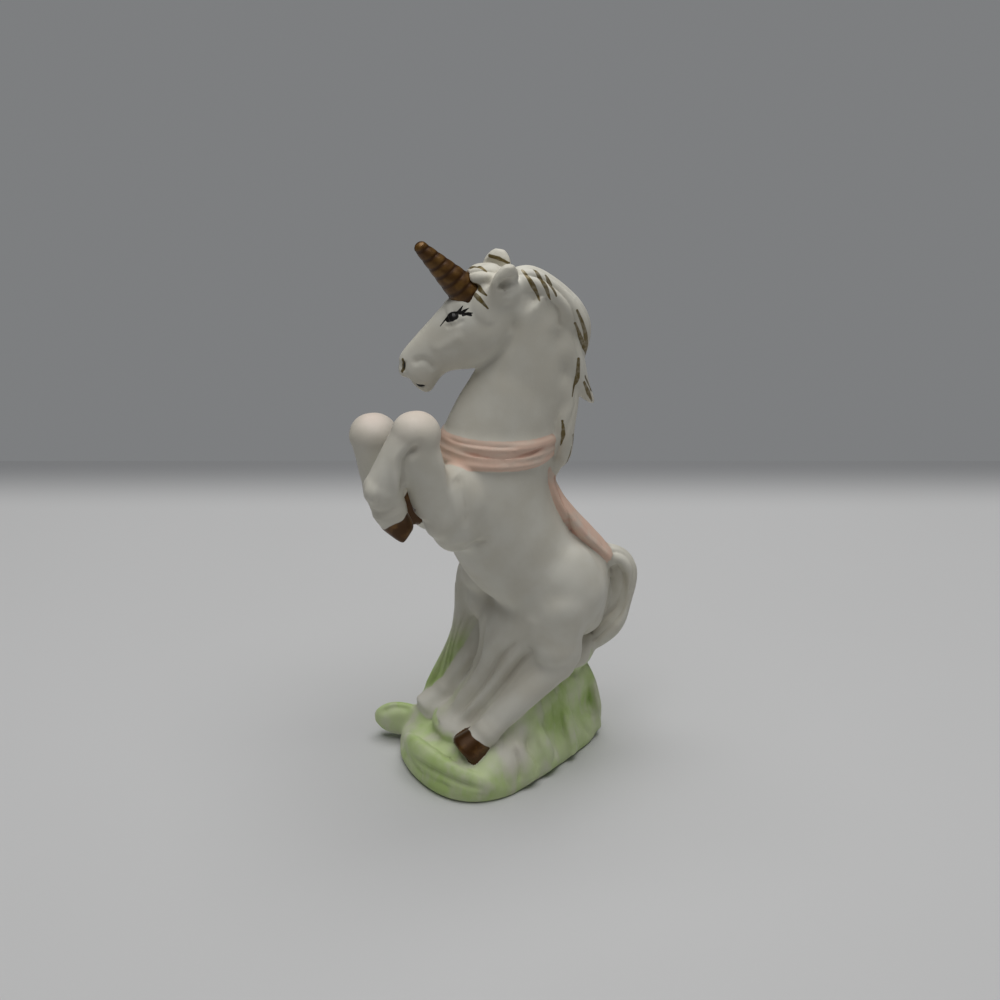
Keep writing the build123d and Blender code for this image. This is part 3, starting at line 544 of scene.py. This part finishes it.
grass = {
    "centre": (4.0, 0.5), "counts": (19, 13), "leans": (0.45, -0.35), "depths": (0.34, 0.24), "from": 1.6,
    "waver": 0.3, "sharp": 2.5,
    # width and height along the paths that follow
    "bandSize": (1.0, -1.1), "ridgeSize": (1.4, 0.7), "edgeSize": (0.7, -0.4), "leafSize": (0.8, -0.7),
    "cornerSize": (1.0, -0.5),
    "bands": [[(2.0, -5.4, 35.0), (-4.0, -4.6, 27.0), (-9.6, -3.0, 18.6), (-14.0, -2.4, 12.0)],
              [(4.0, -8.6, 32.5), (-2.0, -7.0, 24.5), (-8.6, -5.6, 16.0), (-12.6, -5.4, 11.6)],
              [(-2.6, -1.0, 37.5), (-6.0, 1.6, 28.0), (-10.6, 3.0, 18.0), (-15.0, 3.0, 11.6)]],
    "ridges": [[(1.0, -7.2, 33.6), (-4.0, -6.0, 26.0), (-10.0, -4.4, 17.0), (-14.0, -4.0, 11.6)],
               [(-1.0, -3.2, 36.0), (-5.4, -1.8, 28.0), (-11.0, 0.0, 18.0), (-15.4, 0.4, 11.6)],
               [(-3.4, 2.4, 37.0), (-6.6, 4.6, 27.0), (-11.0, 5.6, 17.0)]],
    "leafGroove": [(-24.0, -1.6, 6.2), (-20.0, -11.0, 6.0), (-14.8, -15.6, 4.8), (-10.6, -17.0, 3.4)],
    "cornerGroove": [(-26.4, 14.6, 6.6), (-22.6, 13.0, 8.6), (-19.0, 10.6, 8.6)],
    "bladeEdges": [[(-3.6, -13.2, 10.6), (-3.0, -14.4, 6.6), (-3.2, -15.8, 2.4)],
                   [(0.2, -11.6, 12.4), (1.0, -13.0, 7.0), (1.0, -13.8, 2.6)],
                   [(5.4, -9.6, 14.6), (6.0, -10.8, 8.4), (6.2, -11.6, 3.0)]],
    "tallBlade": {"path": [(-12.5, 11.0, 8.0), (-9.0, 11.0, 26.0), (-4.0, 11.0, 47.0)],
                  "count": 8, "twist": 0.3, "depth": 0.45},
    "tallTop": 34, "tallFade": 10,  # the tall blade's grooves fade out below its tip
}
angle = np.arctan2(points[:, 1] - grass["centre"][1], points[:, 0] - grass["centre"][0])
onMound = relax(isOf("mound", "side_blades", "rear_blades"), 5)
onMound *= np.clip((points[:, 2] - grass["from"]) / 2, 0, 1)
for count, lean, depth in zip(grass["counts"], grass["leans"], grass["depths"]):
    phase = angle / (2 * math.pi) * count + lean * points[:, 2] / 10
    phase += grass["waver"] * np.sin(3 * angle + 0.2 * points[:, 2])
    lift -= depth * onMound * np.abs(2 * (phase - np.floor(phase)) - 1) ** grass["sharp"]
for path in grass["bands"]:
    swell(path, *grass["bandSize"])
for path in grass["ridges"]:
    swell(path, *grass["ridgeSize"])
lift *= 1 - relax(isOf("left_hind_hoof"), 12)  # the near hoof stays plain
before = lift.copy()
comb("tall_blade", **grass["tallBlade"])
lift = before + (lift - before) * np.clip((grass["tallTop"] - points[:, 2]) / grass["tallFade"], 0, 1)
for path in grass["bladeEdges"]:
    swell(path, *grass["edgeSize"])
swell(grass["leafGroove"], *grass["leafSize"])
swell(grass["cornerGroove"], *grass["cornerSize"])

sash = {
    "folds": [[(-14.6, -0.6, 80.4), (-12.6, -4.4, 80.0), (-8.8, -7.1, 79.8), (-4.6, -8.2, 79.2),
               (0.4, -8.2, 78.6)],
              [(-13.6, -3.8, 78.2), (-9.0, -7.8, 77.6), (-3.2, -9.2, 76.8), (3.8, -7.6, 77.0),
               (6.4, -5.6, 78.0)]],
    "width": 0.55, "depth": 0.4,
}
for path in sash["folds"]:
    swell(path, sash["width"], -sash["depth"])
    swell(mirrorBody(path), sash["width"], -sash["depth"])

# the raised hoof is a wedge, cut flat at the sole and the heel
wedge = {
    "centre": (-26.6, -7.0, 65.5), "reach": 5.0, "cut": 0.85, "rubs": 5, "rubPasses": 6,
    "cuts": {  # a place on the cut face and the way out of it
        "sole": [(-30.3, -7.2, 65.6), (-0.65, -0.15, -0.75)],
        "heel": [(-22.6, -7.2, 64.4), (0.72, -0.51, -0.47)],
    },
}
atHoof = isOf("left_fore_hoof") > 0
nearHoof = np.linalg.norm(points - wedge["centre"], axis=1) < wedge["reach"]
atHoof |= (isOf("left_foreleg") > 0) & nearHoof
for place, out in wedge["cuts"].values():
    beyond = np.clip((points - place) @ np.array(out), 0, None) * atHoof
    points -= wedge["cut"] * beyond[:, None] * np.array(out)
for _ in range(wedge["rubs"]):  # its edges are worn round
    worn = np.stack([relax(points[:, k], wedge["rubPasses"]) for k in range(3)], axis=1)
    points[atHoof] = worn[atHoof]

# the ears open in a cup, and the tail's inner face is hollow
tailCup = [(22.6, -3.4, 44.6), (24.0, -4.2, 41.0), (24.0, -4.2, 36.0), (22.0, -3.6, 30.5)]
cups = {  # path, width and height
    "near": [[(-3.4, -4.6, 112.6), (-2.8, -4.8, 110.6), (-2.4, -4.6, 108.8)], 1.5, -0.4],
    "far": [[(-3.6, 4.6, 113.0), (-3.2, 5.0, 111.0)], 1.2, -0.4],
    "tail": [tailCup, 1.7, -1.2],
    "farTail": [mirrorBody(tailCup), 1.7, -0.8],
}
for path, width, height in cups.values():
    swell(path, width, height)

# nothing made by hand is quite even
ripple = {"height": 0.05, "waves": (0.9, 1.1, 0.7)}
waveX, waveY, waveZ = (points * ripple["waves"]).T
lift += ripple["height"] * np.sin(waveX + 1) * np.sin(waveY) * np.sin(waveZ)
press()

# paint and shade, kept as values on the points
print("stage: paint")
bare = 2.0  # paint is kept as the distance from its edge, and this is far outside it
brush = {"reach": 3.0, "even": 12, "depth": 2.0, "turned": 0.25, "push": 4}


def strokeField(items):
    field = np.full(len(points), bare)
    for path, widths in items:
        route = curve(path)
        out = np.array([np.array(skin.find_nearest(Vector(p) * mm)[1]) for p in route])
        even = brush["even"]
        out = np.array([out[max(0, k - even):k + even + 1].mean(0) for k in range(len(out))])
        out /= np.linalg.norm(out, axis=1)[:, None]
        index, _, along, offset, _ = toPath(route, brush["reach"])
        normal = out[np.round(along * (len(route) - 1)).astype(int)]
        depth = (offset * normal).sum(1)
        distance = np.linalg.norm(offset - depth[:, None] * normal, axis=1)
        distance += np.clip(np.abs(depth) - brush["depth"], 0, 9)
        facing = (normals[index] * normal).sum(1)  # no paint on a thin piece's far side
        distance += brush["push"] * np.clip(brush["turned"] - facing, 0, 1)
        width = np.interp(along, (0, 0.5, 1), widths)
        field[index] = np.minimum(field[index], distance - width / 2)
    return field


writeAttribute(mesh, "gold", strokeField([(path, strokeWidth) for path in goldPaths]))
writeAttribute(mesh, "ink", strokeField(inkStrokes))
writeAttribute(mesh, "nostril", strokeField([(path, face["nostril"][1]) for path in nostrils]))

hooves = {  # ankle joint, direction and where the paint starts below it
    "left_fore": [(-27.7, -7.0, 68.75), (0.45, 0.06, -0.89), 2.1],
    "right_fore": [(-24.0, 5.8, 64.8), (0.85, 0.0, -0.5), 1.7],
    "left_hind": [(-8.6, -9.1, 13.0), (-0.76, 0.0, -0.65), 2.3],
}
hoofPaint = {"reach": 5.2, "innerSide": 3.2, "curve": 0.08, "ripple": 0.25, "wave": 1.6}
bronze = np.full(len(points), bare)
for side, (ankle, down, start) in hooves.items():
    down = np.array(down) / np.linalg.norm(down)
    level = (points - ankle) @ down
    onLeg = isOf(side + "_leg" if "hind" in side else side + "leg") > 0
    atAnkle = np.linalg.norm(points - ankle, axis=1) < hoofPaint["reach"]
    mine = (isOf(side + "_hoof") > 0) | (onLeg & atAnkle)
    aside = points[:, 1] - ankle[1]
    if side == "left_hind":  # its inner side runs into the support
        mine &= aside < hoofPaint["innerSide"]
    edge = start - level - hoofPaint["curve"] * aside ** 2
    edge += hoofPaint["ripple"] * np.sin(points[:, 1] * hoofPaint["wave"] + points[:, 0])
    bronze[mine] = edge[mine]
writeAttribute(mesh, "bronze", np.clip(bronze, -bare, bare))

pinkShare = relax(isOf("sash", "back_ribbon"), 6)
paleRoll = {"height": 74.0, "half": 1.1, "from": 1.0, "run": 8, "share": 0.5}  # the sash's lowest fold
onRoll = np.exp(-((points[:, 2] - paleRoll["height"]) / paleRoll["half"]) ** 2)
onRoll *= np.clip((paleRoll["from"] - points[:, 0]) / paleRoll["run"], 0, 1)
pinkShare *= 1 - paleRoll["share"] * onRoll * (isOf("sash") > 0)

greenNodes = ("mound", "corner_leaf", "front_leaf", "tall_blade", "side_blades", "rear_blades")
greenShare = relax(isOf(*greenNodes), 8)
tuft = {"share": 0.35, "top": 26, "fade": 12}  # the support is green only at its foot
onTuft = tuft["share"] * relax(isOf("grass_support"), 10)
onTuft *= np.clip((tuft["top"] - points[:, 2]) / tuft["fade"], 0, 1)
greenShare = np.maximum(greenShare, onTuft)
wash = {  # where the green is strong or nearly white: place, radius, change
    "cornerLeaf": [(-25.0, 14.6, 6.0), 6.0, 0.25],
    "frontLeaf": [(-19.0, -10.0, 5.0), 9.0, 0.35],
    "rim": [(18.0, -4.0, 4.0), 9.0, 0.2],
    "rearPatch": [(8.0, -7.0, 15.0), 4.5, 0.35],
    "backPatch": [(15.4, -1.6, 16.0), 5.0, 0.4],
    "leftSlope": [(-15.0, 6.0, 12.0), 5.0, 0.3],
    "whiteBlades": [(-3.0, -13.0, 9.0), 5.0, -0.5],
    "hoofBed": [(-12.0, -5.0, 12.0), 5.5, -0.45],
    "farHoof": [(-14.0, 7.6, 14.0), 4.0, -0.4],
    "tallBlade": [(-12.5, 11.6, 19.0), 8.0, 0.6],
    "bandFeet": [(-13.0, -1.0, 12.0), 4.0, -0.3],
}
evenWash = {"share": 0.62, "fade": 0.55, "from": 16, "run": 16}
strength = np.full(len(points), evenWash["share"])
for place, radius, change in wash.values():
    strength += change * np.exp(-(np.linalg.norm(points - place, axis=1) / radius) ** 2)
strength -= evenWash["fade"] * np.clip((points[:, 2] - evenWash["from"]) / evenWash["run"], 0, 1)
writeAttribute(mesh, "pink", pinkShare)
writeAttribute(mesh, "green", greenShare * np.clip(strength, 0, 1))

flush = {"knees": [(-21.7, -7.5, 88.0), (-27.0, 7.2, 82.6)], "radius": 4.5}
blush = 0
for knee in flush["knees"]:
    blush = blush + np.exp(-(np.linalg.norm(points - knee, axis=1) / flush["radius"]) ** 2)
writeAttribute(mesh, "blush", blush)

fullCrease = 0.016  # a hollow this deep gets the full painted crease shade
hollow = ((middleOfNeighbours() - points) * normals).sum(1)
crease = np.clip(relax(hollow, 6) / fullCrease, 0, 1)
writeAttribute(mesh, "crease", relax(crease, 2))


# materials
class Sock:
    def __init__(self, graph, socket):
        self.graph, self.socket = graph, socket

    def math(self, operation, other):
        return self.graph.add("ShaderNodeMath", {0: self, 1: other}, operation=operation)

    def __add__(self, other):
        return self.math("ADD", other)

    def __sub__(self, other):
        return self.math("SUBTRACT", other)

    def __mul__(self, other):
        return self.math("MULTIPLY", other)

    def ramp(self, low, high, start=0.0, end=1.0):
        return self.graph.add("ShaderNodeMapRange", {"Value": self, "From Min": low, "From Max": high,
                              "To Min": start, "To Max": end}, interpolation_type="SMOOTHSTEP")


class Graph:
    def __init__(self, name):
        self.material = bpy.data.materials.new(name)
        self.material.use_nodes = True
        self.tree = self.material.node_tree
        self.shader = self.tree.nodes["Principled BSDF"]

    def add(self, kind, values=None, out=0, **settings):
        node = self.tree.nodes.new(kind)
        for key, value in settings.items():
            setattr(node, key, value)
        for key, value in (values or {}).items():
            self.put(node, key, value)
        return Sock(self, node.outputs[out])

    def put(self, node, key, value):
        if isinstance(value, Sock):
            self.tree.links.new(value.socket, node.inputs[key])
        else:
            node.inputs[key].default_value = value

    def set(self, key, value):
        self.put(self.shader, key, value)

    def attribute(self, name):
        return self.add("ShaderNodeAttribute", out="Fac", attribute_name=name)

    def noise(self, scale, detail=3.0, stretch=(1, 1, 1)):
        place = self.add("ShaderNodeTexCoord", out="Object")
        place = self.add("ShaderNodeMapping", {"Vector": place, "Scale": stretch})
        return self.add("ShaderNodeTexNoise", {"Vector": place, "Scale": scale, "Detail": detail})

    def mix(self, share, first, second):
        return self.add("ShaderNodeMix", {0: share, 6: first, 7: second}, out=2, data_type="RGBA")


def rgb(red, green, blue):
    return (red, green, blue, 1.0)


porcelain = {
    "ivory": rgb(0.65, 0.62, 0.53), "chalk": rgb(0.71, 0.69, 0.61),
    # the dark grey-brown here is painted shade for the creases and hollows
    "creaseShade": rgb(0.40, 0.36, 0.29), "blush": rgb(0.86, 0.60, 0.50),
    "peach": rgb(0.78, 0.54, 0.42), "rose": rgb(0.66, 0.38, 0.28),
    "leaf": rgb(0.47, 0.62, 0.22), "lime": rgb(0.62, 0.72, 0.39),
    "bronze": rgb(0.07, 0.028, 0.004), "bronzeEdge": rgb(0.17, 0.08, 0.018),
    "hairGold": rgb(0.15, 0.11, 0.035), "ink": rgb(0.010, 0.009, 0.008),
}


def makePorcelain(name):
    g = Graph(name)
    p = porcelain
    fine = g.noise(700.0, 2.0)
    cloud = g.noise(110.0)
    colour = g.mix(cloud.ramp(0.35, 0.68), p["ivory"], p["chalk"])
    # painted shade: creases and hollows are coloured darker, as if in shade
    colour = g.mix(g.attribute("crease").ramp(0.3, 1.0) * 0.3, colour, p["creaseShade"])
    colour = g.mix(g.attribute("blush") * cloud.ramp(0.2, 0.7, 0.12, 0.4), colour, p["blush"])
    # washes are thin, so the white shows through where the brush ran dry
    streak = g.noise(240.0, 4.0, (0.6, 0.6, 1.6))
    pink = g.attribute("pink").ramp(0.30, 0.75) * streak.ramp(0.25, 0.62, 0.45, 0.95)
    colour = g.mix(pink, colour, g.mix(g.attribute("crease").ramp(0.1, 0.8), p["peach"], p["rose"]))
    green = g.attribute("green") * g.noise(170.0, 4.0, (1.5, 1.5, 0.5)).ramp(0.28, 0.66, 0.55, 1.35)
    grassGreen = g.mix(g.noise(130.0).ramp(0.35, 0.65), p["leaf"], p["lime"])
    colour = g.mix(green.ramp(0.05, 0.95), colour, grassGreen)
    wobble = (fine - 0.5) * 0.12
    gold = (g.attribute("gold") + wobble).ramp(0.05, -0.05)
    colour = g.mix(gold * g.noise(900.0).ramp(0.3, 0.6, 0.75, 1.0), colour, p["hairGold"])
    bronze = (g.attribute("bronze") + wobble).ramp(0.08, -0.08)
    shade = g.mix(g.noise(420.0, 4.0).ramp(0.45, 0.75), p["bronze"], p["bronzeEdge"])
    colour = g.mix(bronze, colour, shade)
    nostril = (g.attribute("nostril") + wobble).ramp(0.05, -0.05)
    colour = g.mix(nostril, colour, p["hairGold"])
    dark = (g.attribute("nostril") + 0.28 + wobble).ramp(0.1, -0.1)
    ink = (g.attribute("ink") + wobble * 0.4).ramp(0.04, -0.04)
    colour = g.mix(ink.math("MAXIMUM", dark), colour, p["ink"])
    g.set("Base Color", colour)
    painted = bronze.math("MAXIMUM", gold)
    g.set("Metallic", painted * 0.35)
    matt = g.noise(300.0).ramp(0.3, 0.7, 0.52, 0.66)
    g.set("Roughness", matt - painted * 0.18 - ink * 0.28)
    g.set("Specular IOR Level", 0.42)
    grain = g.noise(2200.0, 2.0) * 0.6 + g.noise(420.0, 3.0)
    bump = {"Strength": 0.22, "Distance": 0.00012, "Height": grain}
    g.set("Normal", g.add("ShaderNodeBump", bump, out="Normal"))
    return g.material


finishes = {slot: makePorcelain(slot) for slot in ("white_bisque", "pink_wash", "green_wash", "gold_paint")}

# the clay is split back into its pieces
print("stage: pieces")
skinWall = 0.12  # each piece is a thin closed shell
outward = mesh.attributes.new("outward", "FLOAT_VECTOR", "POINT")
outward.data.foreach_set("vector", normals.astype(np.float32).ravel())
activate(figure)
bpy.ops.object.shade_smooth()
bpy.ops.object.mode_set(mode="EDIT")
bpy.ops.mesh.select_all(action="SELECT")
bpy.ops.mesh.separate(type="MATERIAL")
bpy.ops.object.mode_set(mode="OBJECT")
slots = {part["node"]: part["material_slot"] for part in frame["record"]["subparts"]}
pieces = {}
for obj in list(bpy.context.selected_objects):
    node = obj.data.materials[0].name[len("keep_"):]
    obj.name = "look_" + node
    pieces[node] = obj
    obj.data.materials.clear()
    outerCount = len(obj.data.vertices)
    applyModifier(obj, "SOLIDIFY", thickness=skinWall * mm, offset=-1.0, use_rim=True)
    smoothNormals = np.empty(len(obj.data.vertices) * 3, np.float32)
    obj.data.attributes["outward"].data.foreach_get("vector", smoothNormals)
    smoothNormals = smoothNormals.reshape(-1, 3)
    smoothNormals[outerCount:] *= -1  # the inner side of the skin
    obj.data.normals_split_custom_set_from_vertices(smoothNormals.tolist())
    obj.data.attributes.remove(obj.data.attributes["outward"])
    obj.data.materials.append(finishes[slots[node]])
    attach(obj, "root")
    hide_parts(node)
print("pieces", len(pieces), {node: len(piece.data.polygons) for node, piece in pieces.items()})

# the horn: a cone with a spiral ridge, wrapped from a grid
print("stage: horn")
horn = {
    "seat": (-8.6, 1.59, 108.87), "axis": (-0.6716, 0.1184, 0.7313), "length": 13.6, "sink": 2.2,
    "baseRadius": 3.75, "tipRadius": 1.15, "turns": 7.5, "ridge": 0.12, "rings": 150, "sides": 72,
    "cap": 0.04, "dome": 0.06, "weld": 0.003,
    # the darkest brown is painted shade in the spiral groove
    "groove": rgb(0.055, 0.021, 0.003), "dull": rgb(0.09, 0.038, 0.005), "bright": rgb(0.17, 0.085, 0.016),
}
bpy.ops.mesh.primitive_grid_add(x_subdivisions=horn["sides"], y_subdivisions=horn["rings"], size=1.0)
hornPiece = bpy.context.object
hornPiece.name = "look_horn"
flat = readPoints(hornPiece.data) * mm + 0.5
turn, rise = 2 * math.pi * flat[:, 0], flat[:, 1]
axis = np.array(horn["axis"]) / np.linalg.norm(horn["axis"])
across = np.cross(axis, (0.0, 1.0, 0.0))
across /= np.linalg.norm(across)
other = np.cross(axis, across)
along = np.clip((rise - horn["cap"]) / (1 - 2 * horn["cap"]), 0, 1)
spiral = np.abs(np.sin((turn + 2 * math.pi * horn["turns"] * along) / 2)) ** 0.7
radius = horn["baseRadius"] + (horn["tipRadius"] - horn["baseRadius"]) * along ** 0.95
radius -= horn["ridge"] * (1 - spiral) * np.clip((1 - along) / 0.05, 0, 1)
dome = np.clip((along - 1 + horn["dome"]) / horn["dome"], 0, 1)
radius *= np.sqrt(np.clip(1 - dome ** 2, 0, 1))
radius[(rise < 0.001) | (rise > 0.999)] = 0  # both ends close in a point
height = along * (horn["length"] + horn["sink"]) - horn["sink"]
places = np.array(horn["seat"]) + axis * height[:, None]
places += radius[:, None] * (across * np.cos(turn)[:, None] + other * np.sin(turn)[:, None])
writePoints(hornPiece.data, places)
writeAttribute(hornPiece.data, "ridge", spiral)
activate(hornPiece)
bpy.ops.object.mode_set(mode="EDIT")
bpy.ops.mesh.select_all(action="SELECT")
bpy.ops.mesh.remove_doubles(threshold=horn["weld"] * mm)
bpy.ops.mesh.normals_make_consistent(inside=False)
bpy.ops.object.mode_set(mode="OBJECT")
bpy.ops.object.shade_smooth()


def makeHornGold():
    g = Graph("horn_gold")
    worn = g.noise(520.0, 4.0).ramp(0.35, 0.7)
    ridge = g.attribute("ridge").ramp(0.35, 0.95)
    # painted shade: the spiral grooves are coloured darker than the ridges
    colour = g.mix(ridge, horn["groove"], g.mix(worn, horn["dull"], horn["bright"]))
    g.set("Base Color", colour)
    g.set("Metallic", 0.4)
    g.set("Roughness", g.noise(600.0).ramp(0.3, 0.7, 0.34, 0.5))
    bump = {"Strength": 0.25, "Distance": 0.0001, "Height": g.noise(1300.0)}
    g.set("Normal", g.add("ShaderNodeBump", bump, out="Normal"))
    return g.material


hornPiece.data.materials.append(makeHornGold())
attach(hornPiece, "root")
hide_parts("horn")

# floor, light and camera
print("stage: studio")
studio = {  # lengths in metres
    "turn": -20.0, "width": 2.4, "near": -0.9, "far": 0.158, "fadeFrom": 0.122, "fadeTo": 0.157,
    "paper": rgb(0.60, 0.60, 0.595), "palePaper": rgb(0.63, 0.63, 0.63),
    # the far paper is darker: painted shade where the floor runs back to the wall
    "farPaperShade": rgb(0.262, 0.265, 0.271),
    "dim": rgb(0.055, 0.057, 0.061),  # what lights the figure
    "wall": rgb(0.205, 0.21, 0.215),  # what the camera sees behind it
    "lamps": {  # place, aim, size and power
        "overhead": ((0.02, 0.0, 0.75), (0, 0, 0.05), 0.7, 5.0),
        "front": ((-0.35, -0.6, 0.55), (0, 0, 0.06), 0.6, 0.12),
    },
    "eye": (-0.09777, -0.26311, 0.2), "tilt": 64.0, "lens": 54.0, "sensor": 36.0, "clip": 0.01,
}
bpy.ops.mesh.primitive_plane_add(size=1.0)
floor = bpy.context.object
floor.name = "floor"
floor.scale = (studio["width"], studio["far"] - studio["near"], 1.0)
lookX, lookY = math.sin(math.radians(-studio["turn"])), math.cos(math.radians(studio["turn"]))
middle = (studio["far"] + studio["near"]) / 2
floor.location = (middle * lookX, middle * lookY, 0)
floor.rotation_euler = (0, 0, math.radians(studio["turn"]))
bpy.ops.object.transform_apply(location=True, rotation=True, scale=True)
g = Graph("paper")
place = g.add("ShaderNodeSeparateXYZ", {0: g.add("ShaderNodeTexCoord", out="Object")})
placeY = Sock(g, place.socket.node.outputs[1])
# painted shade: the paper grows darker towards its far edge
farShade = (place * lookX + placeY * lookY).ramp(studio["fadeFrom"], studio["fadeTo"])
pale = g.mix(g.noise(9.0), studio["paper"], studio["palePaper"])
g.set("Base Color", g.mix(farShade, pale, studio["farPaperShade"]))
g.set("Roughness", 0.8)
floor.data.materials.append(g.material)

world = bpy.data.worlds.new("studio")
bpy.context.scene.world = world
world.use_nodes = True
sky = world.node_tree
rays = sky.nodes.new("ShaderNodeLightPath")
wall = sky.nodes.new("ShaderNodeMix")
wall.data_type = "RGBA"
wall.inputs[6].default_value = studio["dim"]
wall.inputs[7].default_value = studio["wall"]
sky.links.new(rays.outputs["Is Camera Ray"], wall.inputs[0])
sky.links.new(wall.outputs[2], sky.nodes["Background"].inputs["Color"])


def areaLight(name, place, aim, size, power):
    bpy.ops.object.light_add(type="AREA", location=place)
    light = bpy.context.object
    light.name = name
    light.data.size = size
    light.data.energy = power
    light.rotation_euler = (Vector(aim) - Vector(place)).to_track_quat("-Z", "Y").to_euler()


for name, lamp in studio["lamps"].items():
    areaLight(name, *lamp)

bpy.ops.object.camera_add(location=studio["eye"])
camera = bpy.context.object
camera.name = "camera"
camera.rotation_euler = (math.radians(studio["tilt"]), 0, math.radians(studio["turn"]))
camera.data.lens = studio["lens"]
camera.data.sensor_width = studio["sensor"]
camera.data.clip_start = studio["clip"]
bpy.context.scene.camera = camera
bpy.context.scene.view_settings.view_transform = "Standard"

print("stage: done")
